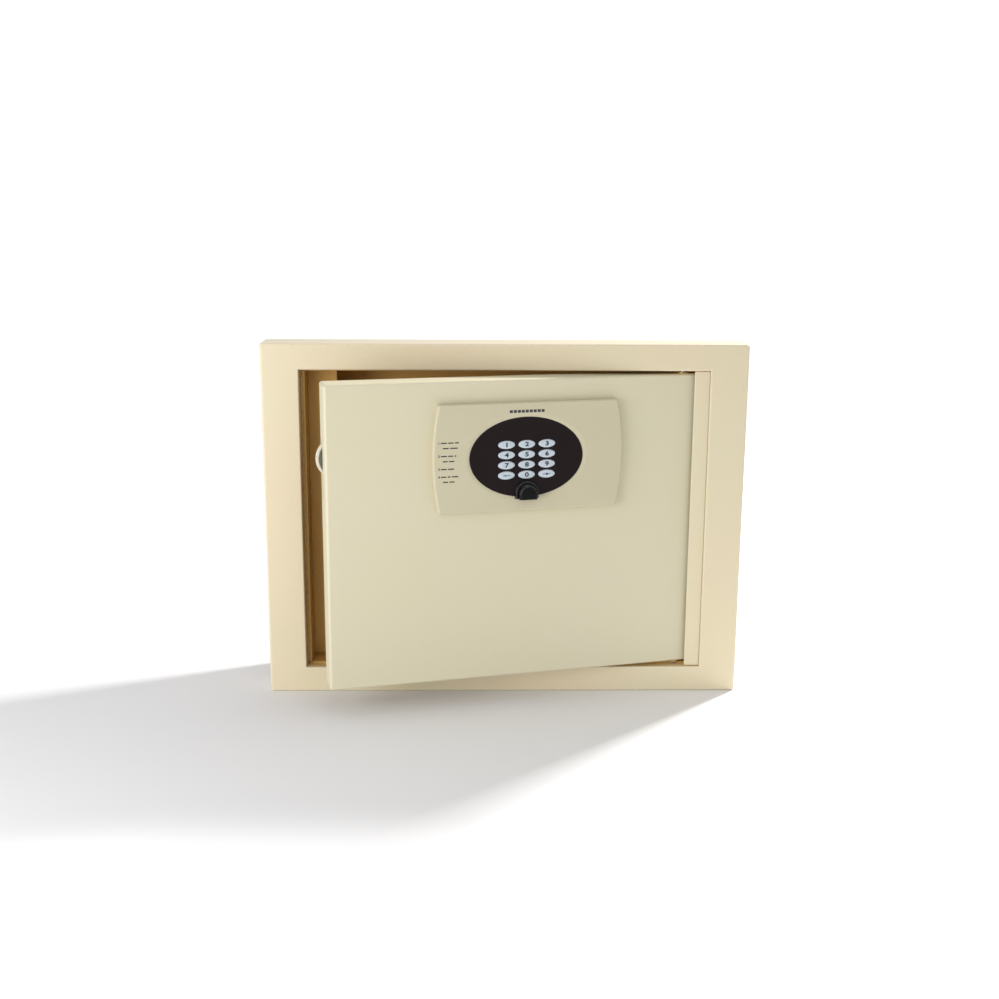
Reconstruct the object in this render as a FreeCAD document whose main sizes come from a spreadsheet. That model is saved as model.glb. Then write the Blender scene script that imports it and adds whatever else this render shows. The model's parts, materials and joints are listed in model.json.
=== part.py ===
import FreeCAD, Part
import math
import os
import re

# Recessed wall safe: a folded steel front frame round a shallow sheet-steel body, and a hollow
# door on two pivot pins.  The door carries an elliptical keypad and a motor-driven swing bolt.
# Row frame: origin at the centre of the four anchor holes on the back panel's outer face,
# +X to the right, +Z up, the front frame towards -Y.  Millimetres throughout.
# The door stands ajar: its pieces are drawn shut and then turned about the hinge pins.

doc = FreeCAD.newDocument("wall_safe")

SIZES = [
    # front frame, folded from one sheet
    ("frame_width", 450.0), ("frame_height", 337.0), ("overall_depth", 100.0),
    ("frame_return", 35.0), ("frame_sheet", 1.5), ("frame_bend", 3.0), ("opening_bend", 1.4),
    ("side_border", 35.2), ("top_border", 24.6), ("inner_return", 20.0),
    # body
    ("body_sheet", 1.8), ("body_setback", 11.0), ("body_side_gap", 2.3), ("back_sheet", 3.0),
    ("anchor_pitch_x", 250.0), ("anchor_pitch_z", 160.0), ("anchor_hole", 9.0),
    ("stud_hole", 7.0), ("stud_hole_depth", 70.0), ("stud_pitch", 180.0),
    # strip that covers the hinge gap
    ("strip_width", 14.3), ("strip_setback", 2.5), ("strip_sheet", 2.0), ("strip_leg", 13.0),
    ("end_gap", 0.5),
    # jamb behind the door's free edge, its bumpers, and the strike
    ("jamb_reach", 27.7), ("jamb_sheet", 2.0), ("jamb_leg", 26.0), ("jamb_gap", 2.5),
    ("bumper_radius", 5.0), ("bumper_play", 0.6), ("bumper_inset", 32.1),
    ("strike_sheet", 1.0), ("strike_play", 0.8), ("strike_end_play", 3.6),
    # door
    ("door_gap_left", 14.9), ("door_gap_right", 4.3), ("door_gap_top", 1.5),
    ("door_gap_bottom", 2.3), ("door_setback", 5.5), ("door_thickness", 26.0),
    ("door_sheet", 1.5), ("door_bend", 2.5), ("cover_sheet", 1.5), ("cover_play", 0.3),
    # hinge
    ("hinge_from_edge", 15.4), ("hinge_from_face", 8.5), ("rest_angle", 13.74),
    ("pin_radius", 3.0), ("pin_head_radius", 5.0), ("pin_head", 2.5), ("pin_insert", 11.6),
    ("running_play", 0.05), ("bush_radius", 5.0), ("bush_flange_radius", 6.5),
    ("bush_end_play", 0.4), ("hinge_block_width", 20.0), ("hinge_block_depth", 20.0),
    ("hinge_block_height", 14.0), ("pivot_block_width", 18.0), ("pivot_block_height", 14.0),
    # keypad panel, bezel and finger pull
    ("panel_offset", 7.9), ("panel_drop", 20.0), ("panel_width", 178.4), ("panel_height", 100.0),
    ("panel_bow", 5.5), ("panel_proud", 7.0), ("panel_round", 3.0), ("pocket_width", 122.0),
    ("pocket_height", 80.0), ("ledge_proud", 4.7), ("bezel_shift", -2.4), ("bezel_half_width", 53.2),
    ("bezel_half_height", 36.7), ("bezel_set_in", 0.3), ("bezel_play", 0.15), ("bezel_ledge", 3.0),
    ("dish_width", 3.2), ("dish_depth", 0.8),
    ("pull_width", 21.5), ("pull_height", 15.8), ("pull_step", 2.4), ("pull_base", 4.0),
    ("pull_reach", 9.0), ("pull_wall", 1.8), ("pull_from_bottom", -1.1),
    # keys
    ("key_pitch_x", 18.9), ("key_pitch_z", 9.35), ("key_width", 16.1), ("key_height", 7.9),
    ("key_proud", 1.0), ("key_play", 0.35), ("key_lip", 0.9), ("key_lip_sheet", 0.8),
    ("key_travel", 0.9), ("key_round", 0.6), ("keys_drop", 2.2), ("board_sheet", 1.2),
    ("mat_sheet", 1.2),
    # swing bolt and its drive
    ("bolt_radius", 19.0), ("bolt_sheet", 5.0), ("hub_inside", 3.0), ("bolt_hub", 9.0),
    ("bolt_bevel", 0.9), ("bolt_from_edge", 13.4), ("bolt_drop", 68.3), ("bolt_behind", 16.5),
    ("shaft_radius", 3.0), ("gear_module", 0.8), ("gear_teeth", 24.0), ("pinion_teeth", 12.0),
    ("gear_sheet", 2.3), ("pinion_sheet", 2.0), ("gear_backlash", 0.12), ("rivet_radius", 1.0),
    ("rivet_ring", 6.0), ("base_sheet", 2.0), ("base_width", 60.0), ("base_over_bolt", 9.5),
    ("base_margin", 4.5), ("base_from_edge", 6.0), ("base_under_bolt", 12.5), ("bolt_clearance", 0.5),
    ("motor_radius", 9.0), ("motor_length", 11.0), ("motor_shaft_radius", 1.5),
    # electronics, batteries and fasteners inside the door
    ("standoff_radius", 4.0), ("standoff_inset", 20.0), ("standoff_drop", 12.0),
    ("screw_radius", 2.0), ("screw_head_radius", 3.5), ("screw_head", 1.8),
    ("control_width", 80.0), ("control_height", 45.0), ("control_stand", 7.0),
    ("control_drop", 135.0), ("cell_radius", 7.2), ("cell_length", 50.0), ("cell_count", 4.0),
    ("holder_wall", 1.5), ("holder_end", 3.0), ("holder_drop", 134.0), ("holder_offset", 34.0),
    ("lid_margin", 6.0), ("lid_play", 0.3), ("lid_sheet", 1.5), ("lid_rail", 3.0),
    ("ribbon_width", 10.0), ("ribbon_sheet", 1.0), ("ribbon_inset", 14.0),
]

sizes = doc.addObject("Spreadsheet::Sheet", "Sizes")
for row, (alias, value) in enumerate(SIZES, start=1):
    sizes.set(f"A{row}", alias)
    sizes.set(f"B{row}", str(value))
    sizes.setAlias(f"B{row}", alias)
doc.recompute()
ALIASES = {alias for alias, value in SIZES}


# ---- how a size formula reaches a property ------------------------------------------------------

def formula(text):
    """Turn 'frame_width / 2' into the sheet's own reference 'Sizes.frame_width / 2'."""
    return re.sub(r"[a-z_]+", lambda m: "Sizes." + m[0] if m[0] in ALIASES else m[0], str(text))


def size(alias):
    """The number that a named cell holds."""
    return float(getattr(sizes, alias))


def bind(thing, **links):
    """Bind properties to size formulas; a double underscore stands for a dot."""
    for name, text in links.items():
        thing.setExpression(name.replace("__", "."), formula(text))
    return thing


def move(thing, x=0, y=0, z=0):
    return bind(thing, Placement__Base__x=x, Placement__Base__y=y, Placement__Base__z=z)


# ---- simple solids --------------------------------------------------------------------------------

def box(name, x, y, z, kind="Part::Box", body=None):
    """A block between two formulas on each axis."""
    block = body.newObject(kind, name) if body else doc.addObject(kind, name)
    bind(block, Length=f"({x[1]}) - ({x[0]})", Width=f"({y[1]}) - ({y[0]})",
         Height=f"({z[1]}) - ({z[0]})")
    return move(block, x[0], y[0], z[0])


TURN = {"x": FreeCAD.Rotation(FreeCAD.Vector(0, 1, 0), 90),
        "y": FreeCAD.Rotation(FreeCAD.Vector(1, 0, 0), -90),
        "z": FreeCAD.Rotation()}


def rod(name, axis, centre, span, radius, kind="Part::Cylinder", body=None):
    """A round bar along an axis, centred on the two other coordinates, between two formulas."""
    bar = body.newObject(kind, name) if body else doc.addObject(kind, name)
    bar.Placement = FreeCAD.Placement(FreeCAD.Vector(), TURN[axis])
    bind(bar, Radius=radius, Height=f"({span[1]}) - ({span[0]})")
    place = {"x": (span[0], *centre), "y": (centre[0], span[0], centre[1]), "z": (*centre, span[0])}
    return move(bar, *place[axis])


def oval(name, centre, span, half_width, half_height):
    """An elliptical plate facing -Y: centre in X and Z, span along Y."""
    outline = doc.addObject("Part::Ellipse", name + "_outline")
    outline.Placement = FreeCAD.Placement(FreeCAD.Vector(), FreeCAD.Rotation(FreeCAD.Vector(1, 0, 0), 90))
    bind(outline, MajorRadius=half_width, MinorRadius=half_height)
    move(outline, centre[0], span[0], centre[1])
    plate = doc.addObject("Part::Extrusion", name)
    plate.Base = outline
    plate.DirMode = "Custom"
    plate.Dir = FreeCAD.Vector(0, 1, 0)
    plate.Solid = True
    return bind(plate, LengthFwd=f"({span[1]}) - ({span[0]})")


def fuse(name, *pieces):
    joined = doc.addObject("Part::MultiFuse", name)
    joined.Shapes = list(pieces)
    joined.Refine = True
    return joined


def common(name, *pieces):
    shared = doc.addObject("Part::MultiCommon", name)
    shared.Shapes = list(pieces)
    return shared


def cut(name, base, *tools):
    trimmed = doc.addObject("Part::Cut", name)
    trimmed.Base = base
    trimmed.Tool = tools[0] if len(tools) == 1 else fuse(name + "_tools", *tools)
    return trimmed


def front_edges(shape):
    """Numbers of the edges that lie in the shape's foremost plane."""
    front = shape.BoundBox.YMin
    return [n for n, edge in enumerate(shape.Edges, 1) if edge.BoundBox.YMax < front + 0.01]


def ease(name, base, radius, kind="Part::Fillet", pick=front_edges):
    """Round or bevel the picked edges of a finished solid by a named radius."""
    doc.recompute()
    eased = doc.addObject(kind, name)
    eased.Base = base
    eased.Edges = [(n, size(radius), size(radius)) for n in pick(base.Shape)]
    return eased


# ---- sheet-metal bodies ------------------------------------------------------------------------------

def profile(name, points, low, high):
    """A section drawn in plan, padded upwards; every corner is held by two named distances."""
    body = doc.addObject("PartDesign::Body", name)
    plane = [f for f in body.Origin.OriginFeatures if f.Role == "XY_Plane"][0]
    sketch = body.newObject("Sketcher::SketchObject", name + "_section")
    sketch.AttachmentSupport = [(plane, "")]
    sketch.MapMode = "FlatFace"
    count = len(points)
    rough = [FreeCAD.Vector(10 * math.cos(2 * math.pi * i / count),
                            10 * math.sin(2 * math.pi * i / count), 0) for i in range(count)]
    for i in range(count):
        sketch.addGeometry(Part.LineSegment(rough[i], rough[(i + 1) % count]), False)
    for i in range(count):
        sketch.addConstraint(sketcher_join(i, (i + 1) % count))
    for i, (x, y) in enumerate(points):
        for kind, text in (("DistanceX", x), ("DistanceY", y)):
            held = sketch.addConstraint(sketcher_place(kind, i))
            sketch.setExpression(f"Constraints[{held}]", formula(text))
    pad = body.newObject("PartDesign::Pad", name + "_pad")
    pad.Profile = sketch
    bind(pad, Length=f"({high}) - ({low})")
    return move(body, 0, 0, low)


def sketcher_join(first, second):
    import Sketcher
    return Sketcher.Constraint("Coincident", first, 2, second, 1)


def sketcher_place(kind, line):
    import Sketcher
    return Sketcher.Constraint(kind, -1, 1, line, 1, 1.0)


def corner_edges(shape):
    """Edges of the front face and the four edges that run back from its corners."""
    depth = shape.BoundBox.YLength
    back = [n for n, e in enumerate(shape.Edges, 1)
            if e.BoundBox.YLength > depth - 0.01 and e.BoundBox.XLength + e.BoundBox.ZLength < 0.01]
    return front_edges(shape) + back


def pan(name, x, y, z, sheet, bend):
    """An open-backed tray: a block with eased front corners, hollowed from behind."""
    body = doc.addObject("PartDesign::Body", name)
    block = box(name + "_block", x, y, z, "PartDesign::AdditiveBox", body)
    doc.recompute()
    corners = body.newObject("PartDesign::Fillet", name + "_bends")
    corners.Base = (block, [f"Edge{n}" for n in corner_edges(block.Shape)])
    bind(corners, Radius=bend)
    hollow = [(f"{low} + {sheet}", f"{high} - {sheet}") for low, high in (x, z)]
    box(name + "_hollow", hollow[0], (f"{y[0]} + {sheet}", f"{y[1]} + 1"), hollow[1],
        "PartDesign::SubtractiveBox", body)
    doc.recompute()
    return body


# ---- nodes --------------------------------------------------------------------------------------------

NODES = []


def node(label, *pieces, swings=False):
    """Collect one sub-part's solids under its own label; a door piece is turned ajar."""
    part = doc.addObject("Part::Compound", label)
    part.Label = label
    part.Links = list(pieces)
    if swings:
        part.Placement.Rotation = FreeCAD.Rotation(FreeCAD.Vector(0, 0, 1), size("rest_angle"))
        part.setExpression("Placement.Rotation.Angle", formula("rest_angle"))
        move(part, f"{HINGE_X} * (1 - cos(rest_angle)) + {HINGE_Y} * sin(rest_angle)",
             f"{HINGE_Y} * (1 - cos(rest_angle)) - {HINGE_X} * sin(rest_angle)", 0)
    NODES.append(part)
    return part


def deep(text):
    """Y of a plane that lies this far behind the frame's front face."""
    return f"({text} - overall_depth)"


# Places that more than one piece takes its size from.
OPEN_X = "(frame_width / 2 - side_border)"
OPEN_Z = "(frame_height / 2 - top_border)"
SHELL_X = f"({OPEN_X} - body_side_gap)"
INNER_X = f"({SHELL_X} - body_sheet)"
INNER_Z = f"({OPEN_Z} - body_sheet)"
DOOR_L = f"(-{INNER_X} + door_gap_left)"
DOOR_R = f"({INNER_X} - door_gap_right)"
DOOR_T = f"({INNER_Z} - door_gap_top)"
DOOR_B = f"(-{INNER_Z} + door_gap_bottom)"
DOOR_MID = f"(({DOOR_L} + {DOOR_R}) / 2)"
FACE = deep("door_setback")
SKIN_IN = deep("(door_setback + door_sheet)")
DOOR_BACK = deep("(door_setback + door_thickness)")
COVER_IN = f"({DOOR_BACK} - cover_sheet)"
HINGE_X = f"({DOOR_R} - hinge_from_edge)"
HINGE_Y = f"({FACE} + hinge_from_face)"
JAMB_Y = f"({DOOR_BACK} + jamb_gap)"
BOLT_X = f"({DOOR_L} + bolt_from_edge)"
BOLT_Z = f"({DOOR_T} - bolt_drop)"
BOLT_ARM = "(bolt_radius - hub_inside)"
SHAFT_Z = f"({BOLT_Z} - {BOLT_ARM})"
BOLT_Y = f"({FACE} + bolt_behind)"
BOLT_BACK = f"({BOLT_Y} + bolt_sheet)"
STRIKE_Y = (f"({BOLT_Y} - strike_play)", f"({BOLT_BACK} + strike_play + 1)")
BASE_Y = (f"({BOLT_Y} - bolt_clearance - base_sheet)", f"({BOLT_Y} - bolt_clearance)")
PINION_X = f"({BOLT_X} + gear_module * (gear_teeth + pinion_teeth) / 2)"


# ---- fixed pieces: frame and body -----------------------------------------------------------------------

def front_frame():
    """Outer return, broad face and inner return folded round the opening."""
    body = pan("frame_pan", ("-frame_width / 2", "frame_width / 2"), (deep("0"), deep("frame_return")),
               ("-frame_height / 2", "frame_height / 2"), "frame_sheet", "frame_bend")
    box("frame_inner_return", (f"-{OPEN_X} - frame_sheet", f"{OPEN_X} + frame_sheet"),
        (deep("0"), deep("inner_return")), (f"-{OPEN_Z} - frame_sheet", f"{OPEN_Z} + frame_sheet"),
        "PartDesign::AdditiveBox", body)
    box("frame_opening", (f"-{OPEN_X}", OPEN_X), (deep("-5"), deep("inner_return + 5")),
        (f"-{OPEN_Z}", OPEN_Z), "PartDesign::SubtractiveBox", body)
    doc.recompute()
    opened = body.Tip
    half_x = size("frame_width") / 2 - size("side_border")
    half_z = size("frame_height") / 2 - size("top_border")
    inside = [n for n in front_edges(opened.Shape)
              if abs(opened.Shape.Edges[n - 1].CenterOfMass.x) < half_x + 0.01
              and abs(opened.Shape.Edges[n - 1].CenterOfMass.z) < half_z + 0.01]
    rim = body.newObject("PartDesign::Fillet", "frame_opening_bend")
    rim.Base = (opened, [f"Edge{n}" for n in inside])
    bind(rim, Radius="opening_bend")
    doc.recompute()
    rod("frame_pin_holes", "z", (HINGE_X, HINGE_Y), (f"-{OPEN_Z} - 2 * frame_sheet",
        f"{OPEN_Z} + 2 * frame_sheet"), "pin_radius", "PartDesign::SubtractiveCylinder", body)
    node("front_frame", body)


def rear_flange():
    """Flat ring that closes the frame behind and rests on the wall round the recess."""
    wide = ("-frame_width / 2 + frame_sheet", "frame_width / 2 - frame_sheet")
    tall = ("-frame_height / 2 + frame_sheet", "frame_height / 2 - frame_sheet")
    sheet = box("flange_sheet", wide, (deep("frame_return - frame_sheet"), deep("frame_return")), tall)
    hole = box("flange_hole", (f"-{SHELL_X}", SHELL_X), (deep("0"), deep("overall_depth")),
               (f"-{OPEN_Z}", OPEN_Z))
    node("rear_flange", cut("flange_ring", sheet, hole))


def body_shell():
    """Four-sided sleeve, notched for the hinge pins, slotted for the bolt, drilled for studs."""
    sleeve = box("sleeve_outside", (f"-{SHELL_X}", SHELL_X),
                 (deep("body_setback"), deep("overall_depth - back_sheet")), (f"-{OPEN_Z}", OPEN_Z))
    inside = box("sleeve_inside", (f"-{INNER_X}", INNER_X), (deep("0"), deep("overall_depth")),
                 (f"-{INNER_Z}", INNER_Z))
    notch = box("pin_notch", (f"{HINGE_X} - pin_radius", f"{HINGE_X} + pin_radius"),
                (deep("0"), HINGE_Y), (f"-{OPEN_Z} - 1", f"{OPEN_Z} + 1"))
    end = rod("pin_notch_end", "z", (HINGE_X, HINGE_Y), (f"-{OPEN_Z} - 1", f"{OPEN_Z} + 1"),
              "pin_radius")
    slot = box("bolt_slot", (f"-{SHELL_X} - 1", f"-{INNER_X} + 1"), STRIKE_Y,
               (f"{SHAFT_Z} - bolt_radius + 3", f"{SHAFT_Z} + bolt_radius + 3.5"))
    studs = [rod(f"stud_hole_{i}", "x", (deep("stud_hole_depth"), f"{i} * stud_pitch / 2"),
                 (f"-{SHELL_X} - 1", f"{SHELL_X} + 1"), "stud_hole / 2") for i in (-1, 1)]
    node("body_shell", cut("sleeve", sleeve, inside, notch, end, slot, *studs))


def back_panel():
    sheet = box("back_sheet_metal", (f"-{SHELL_X}", SHELL_X),
                (deep("overall_depth - back_sheet"), deep("overall_depth")), (f"-{OPEN_Z}", OPEN_Z))
    holes = [rod(f"anchor_hole_{i}_{k}", "y", (f"{i} * anchor_pitch_x / 2", f"{k} * anchor_pitch_z / 2"),
                 (deep("overall_depth - back_sheet - 1"), deep("overall_depth + 1")), "anchor_hole / 2")
             for i in (-1, 1) for k in (-1, 1)]
    node("back_panel", cut("drilled_back", sheet, *holes))


def hinge_side_strip():
    """Angle strip that hides the hinge gap; its leg slips between frame and body."""
    face = deep("strip_setback")
    behind = deep("strip_setback + strip_sheet")
    leg_end = deep("strip_setback + strip_leg")
    outline = [(f"{OPEN_X} - strip_width", face), (OPEN_X, face), (OPEN_X, leg_end),
               (f"{OPEN_X} - strip_sheet", leg_end), (f"{OPEN_X} - strip_sheet", behind),
               (f"{OPEN_X} - strip_width", behind)]
    node("hinge_side_strip", profile("strip_angle", outline, f"-{OPEN_Z} + end_gap",
                                     f"{OPEN_Z} - end_gap"))


def left_spacer():
    """Packing strip welded between the frame's inner return and the body."""
    node("left_spacer", box("spacer_strip", (f"-{OPEN_X}", f"-{SHELL_X}"),
                            (deep("body_setback + 2"), deep("inner_return - 1")),
                            (f"-{OPEN_Z} + end_gap", f"{OPEN_Z} - end_gap")))


def strike_jamb():
    """Angle behind the door's free edge that shuts off the gap and carries the bumpers."""
    wall = f"-{INNER_X}"
    outline = [(wall, JAMB_Y), (f"{wall} + jamb_reach", JAMB_Y),
               (f"{wall} + jamb_reach", f"{JAMB_Y} + jamb_sheet"),
               (f"{wall} + jamb_sheet", f"{JAMB_Y} + jamb_sheet"),
               (f"{wall} + jamb_sheet", f"{JAMB_Y} + jamb_leg"), (wall, f"{JAMB_Y} + jamb_leg")]
    angle = profile("jamb_angle", outline, f"-{INNER_Z} + end_gap", f"{INNER_Z} - end_gap")
    node("strike_jamb", angle)
    spread = f"({INNER_Z} - bumper_inset)"
    pads = [rod(f"bumper_{i}", "y", (f"{wall} + jamb_reach - bumper_radius - 2", f"{i} * {spread}"),
                (f"{DOOR_BACK} + bumper_play", JAMB_Y), "bumper_radius") for i in (-1, 0, 1)]
    node("stop_bumpers", *pads)
    rivets = [rod(f"jamb_rivet_{i}", "x", (f"{JAMB_Y} + jamb_leg - 8", f"{i} * {spread}"),
                  (f"{wall} + jamb_sheet", f"{wall} + jamb_sheet + screw_head"), "screw_head_radius")
              for i in (-1, 0, 1)]
    node("jamb_rivets", *rivets)


def strike_box():
    """Closed pocket welded outside the body wall, which the swung bolt enters."""
    low, high = f"({SHAFT_Z} - bolt_radius + 3)", f"({SHAFT_Z} + bolt_radius + 3.5)"
    reach = f"({BOLT_X} - {BOLT_ARM} - bolt_radius - strike_end_play - strike_sheet)"
    solid = box("strike_block", (reach, f"-{SHELL_X}"),
                (f"{STRIKE_Y[0]} - strike_sheet", f"{STRIKE_Y[1]} + strike_sheet"),
                (f"{low} - strike_sheet", f"{high} + strike_sheet"))
    hollow = box("strike_hollow", (f"{reach} + strike_sheet", f"-{SHELL_X} + 1"), STRIKE_Y, (low, high))
    node("strike_box", cut("strike_pocket", solid, hollow))


def hinge_blocks_and_pins():
    """Steel blocks hidden above and below the opening, each with a headed pin pressed in."""
    blocks, pins = [], []
    for name, sign, door_end in (("upper", "", DOOR_T), ("lower", "-", DOOR_B)):
        seat = f"({OPEN_Z} + frame_sheet)"
        span = [f"{sign}{seat}", f"{sign}({seat} + hinge_block_height)"]
        head = [span[1], f"{sign}({seat} + hinge_block_height + pin_head)"]
        tip = f"({door_end} - pin_insert)" if sign == "" else f"({door_end} + pin_insert)"
        shank = [tip, span[1]]
        if sign:
            span, head, shank = span[::-1], head[::-1], shank[::-1]
        block = box(f"{name}_block", (f"{HINGE_X} - hinge_block_width / 2",
                    f"{HINGE_X} + hinge_block_width / 2"),
                    (f"{HINGE_Y} - hinge_block_depth / 2", f"{HINGE_Y} + hinge_block_depth / 2"), span)
        bore = rod(f"{name}_block_bore", "z", (HINGE_X, HINGE_Y), span, "pin_radius")
        blocks.append(cut(f"{name}_hinge_block", block, bore))
        pins.append(fuse(f"{name}_hinge_pin", rod(f"{name}_shank", "z", (HINGE_X, HINGE_Y), shank,
                                                  "pin_radius"),
                         rod(f"{name}_head", "z", (HINGE_X, HINGE_Y), head, "pin_head_radius")))
    node("hinge_blocks", *blocks)
    node("hinge_pins", *pins)


# ---- door shell -------------------------------------------------------------------------------------------

PANEL_X = f"({DOOR_MID} + panel_offset)"
PANEL_T = f"({DOOR_T} - panel_drop)"
PANEL_Z = f"({PANEL_T} - panel_height / 2)"
BEZEL_X = f"({PANEL_X} + bezel_shift)"
CONTROL_X = f"({DOOR_MID} - control_width / 2 - 15)"
CONTROL_T = f"({DOOR_T} - control_drop)"
CONTROL_Y = f"({SKIN_IN} + control_stand)"
RIBBON_Z = f"({PANEL_Z} - pocket_height / 2 + 8)"
RIBBON_END = f"({CONTROL_X} + control_width - ribbon_inset)"
RIBBON_X = (f"({RIBBON_END} - ribbon_width)", RIBBON_END)
SCREW_X = f"(panel_width / 2 - panel_bow - 9)"
SCREW_Z = f"(panel_height / 2 - 8)"
CORNERS = [(i, k) for i in (-1, 1) for k in (-1, 1)]


def panel_screw_places():
    return [(f"{PANEL_X} + {i} * {SCREW_X}", f"{PANEL_Z} + {k} * {SCREW_Z}") for i, k in CORNERS]


def standoff_places():
    rows = (f"{DOOR_T} - standoff_drop", f"{DOOR_B} + standoff_drop")
    columns = (f"{DOOR_L} + standoff_inset", DOOR_MID, f"{DOOR_R} - 1.6 * standoff_inset")
    return [(x, z) for x in columns for z in rows]


def door_skin():
    """Tray with folded edges: holes for bushes, panel screws and ribbon, and the bolt's slot."""
    body = pan("skin_pan", (DOOR_L, DOOR_R), (FACE, DOOR_BACK), (DOOR_B, DOOR_T), "door_sheet",
               "door_bend")
    hole = "PartDesign::SubtractiveCylinder"
    rod("bush_holes", "z", (HINGE_X, HINGE_Y), (f"{DOOR_B} - 1", f"{DOOR_T} + 1"), "bush_radius",
        hole, body)
    for n, place in enumerate(panel_screw_places()):
        rod(f"skin_screw_hole_{n}", "y", place, (f"{FACE} - 1", f"{SKIN_IN} + 1"), "screw_radius",
            hole, body)
    box("skin_bolt_slot", (f"{DOOR_L} - 1", f"{DOOR_L} + door_sheet + 1"),
        (f"{BOLT_Y} - strike_play", f"{BOLT_BACK} + strike_play"),
        (f"{SHAFT_Z} - bolt_radius - 1.3", f"{BOLT_Z} + bolt_radius - 1"),
        "PartDesign::SubtractiveBox", body)
    box("skin_ribbon_slot", (f"{RIBBON_X[0]} - 1", f"{RIBBON_X[1]} + 1"), (f"{FACE} - 1", f"{SKIN_IN} + 1"),
        (f"{RIBBON_Z} - 1.5", f"{RIBBON_Z} + ribbon_sheet + 1.5"), "PartDesign::SubtractiveBox", body)
    node("door_skin", body, swings=True)


CELLS_HIGH = "(2 * cell_radius * cell_count + cell_count * 0.2)"
HOLDER_X = (f"({DOOR_MID} + holder_offset)",
            f"({DOOR_MID} + holder_offset + cell_length + 2 * holder_end + 2 * holder_wall)")
HOLDER_Z = (f"({DOOR_T} - holder_drop - {CELLS_HIGH} - 2 * holder_wall)", f"({DOOR_T} - holder_drop)")
HOLDER_Y = (f"({COVER_IN} - 2 * cell_radius - holder_wall - 1)", f"({COVER_IN} - 1)")


def door_back_cover():
    """Flat sheet inside the door's returns, screwed to standoffs, with a window for the cells."""
    plate = box("cover_plate", (f"{DOOR_L} + door_sheet + cover_play", f"{DOOR_R} - door_sheet - cover_play"),
                (COVER_IN, DOOR_BACK), (f"{DOOR_B} + door_sheet + cover_play",
                                        f"{DOOR_T} - door_sheet - cover_play"))
    window = box("cover_window", (f"{HOLDER_X[0]} + holder_wall", f"{HOLDER_X[1]} - holder_wall"),
                 (f"{COVER_IN} - 1", f"{DOOR_BACK} + 1"),
                 (f"{HOLDER_Z[0]} + holder_wall", f"{HOLDER_Z[1]} - holder_wall"))
    holes = [rod(f"cover_hole_{n}", "y", place, (f"{COVER_IN} - 1", f"{DOOR_BACK} + 1"), "screw_radius")
             for n, place in enumerate(standoff_places())]
    node("door_back_cover", cut("cover_sheet_metal", plate, window, *holes), swings=True)
    posts, screws = [], []
    for n, place in enumerate(standoff_places()):
        post = rod(f"standoff_{n}", "y", place, (SKIN_IN, COVER_IN), "standoff_radius")
        tap = rod(f"standoff_tap_{n}", "y", place, (f"{COVER_IN} - 8", COVER_IN), "screw_radius")
        posts.append(cut(f"tapped_standoff_{n}", post, tap))
        shank = rod(f"cover_shank_{n}", "y", place, (f"{COVER_IN} - 7", DOOR_BACK), "screw_radius")
        head = rod(f"cover_head_{n}", "y", place, (DOOR_BACK, f"{DOOR_BACK} + screw_head"),
                   "screw_head_radius")
        screws.append(fuse(f"cover_screw_{n}", shank, head))
    node("cover_standoffs", *posts, swings=True)
    node("cover_screws", *screws, swings=True)


def pivot_blocks_and_bushes():
    """Blocks welded inside the door's ends, and the flanged bushes that turn on the pins."""
    blocks, bushes = [], []
    for name, top in (("upper", True), ("lower", False)):
        if top:
            span = (f"{DOOR_T} - door_sheet - pivot_block_height", f"{DOOR_T} - door_sheet")
            barrel = (span[0], DOOR_T)
            flange = (DOOR_T, f"{DOOR_T} + door_gap_top - bush_end_play")
        else:
            span = (f"{DOOR_B} + door_sheet", f"{DOOR_B} + door_sheet + pivot_block_height")
            barrel = (DOOR_B, span[1])
            flange = (f"{DOOR_B} - door_gap_bottom + bush_end_play", DOOR_B)
        block = box(f"{name}_pivot_body", (f"{HINGE_X} - pivot_block_width / 2",
                    f"{HINGE_X} + pivot_block_width / 2"),
                    (SKIN_IN, f"{HINGE_Y} + bush_radius + 3"), span)
        bore = rod(f"{name}_pivot_bore", "z", (HINGE_X, HINGE_Y), span, "bush_radius")
        blocks.append(cut(f"{name}_pivot_block", block, bore))
        whole = (min(barrel[0], flange[0], key=len), max(barrel[1], flange[1], key=len))
        sleeve = fuse(f"{name}_bush_solid",
                      rod(f"{name}_bush_barrel", "z", (HINGE_X, HINGE_Y), barrel, "bush_radius"),
                      rod(f"{name}_bush_flange", "z", (HINGE_X, HINGE_Y), flange, "bush_flange_radius"))
        hole = rod(f"{name}_bush_bore", "z", (HINGE_X, HINGE_Y),
                   (f"{barrel[0]} - 5", f"{barrel[1]} + 5"), "pin_radius + running_play")
        bushes.append(cut(f"{name}_bush", sleeve, hole))
    node("pivot_blocks", *blocks, swings=True)
    node("hinge_bushes", *bushes, swings=True)


# ---- keypad -------------------------------------------------------------------------------------------------

def proud(text):
    """Y of a plane that stands this far in front of the door's face."""
    return f"({FACE} - ({text}))"


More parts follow.
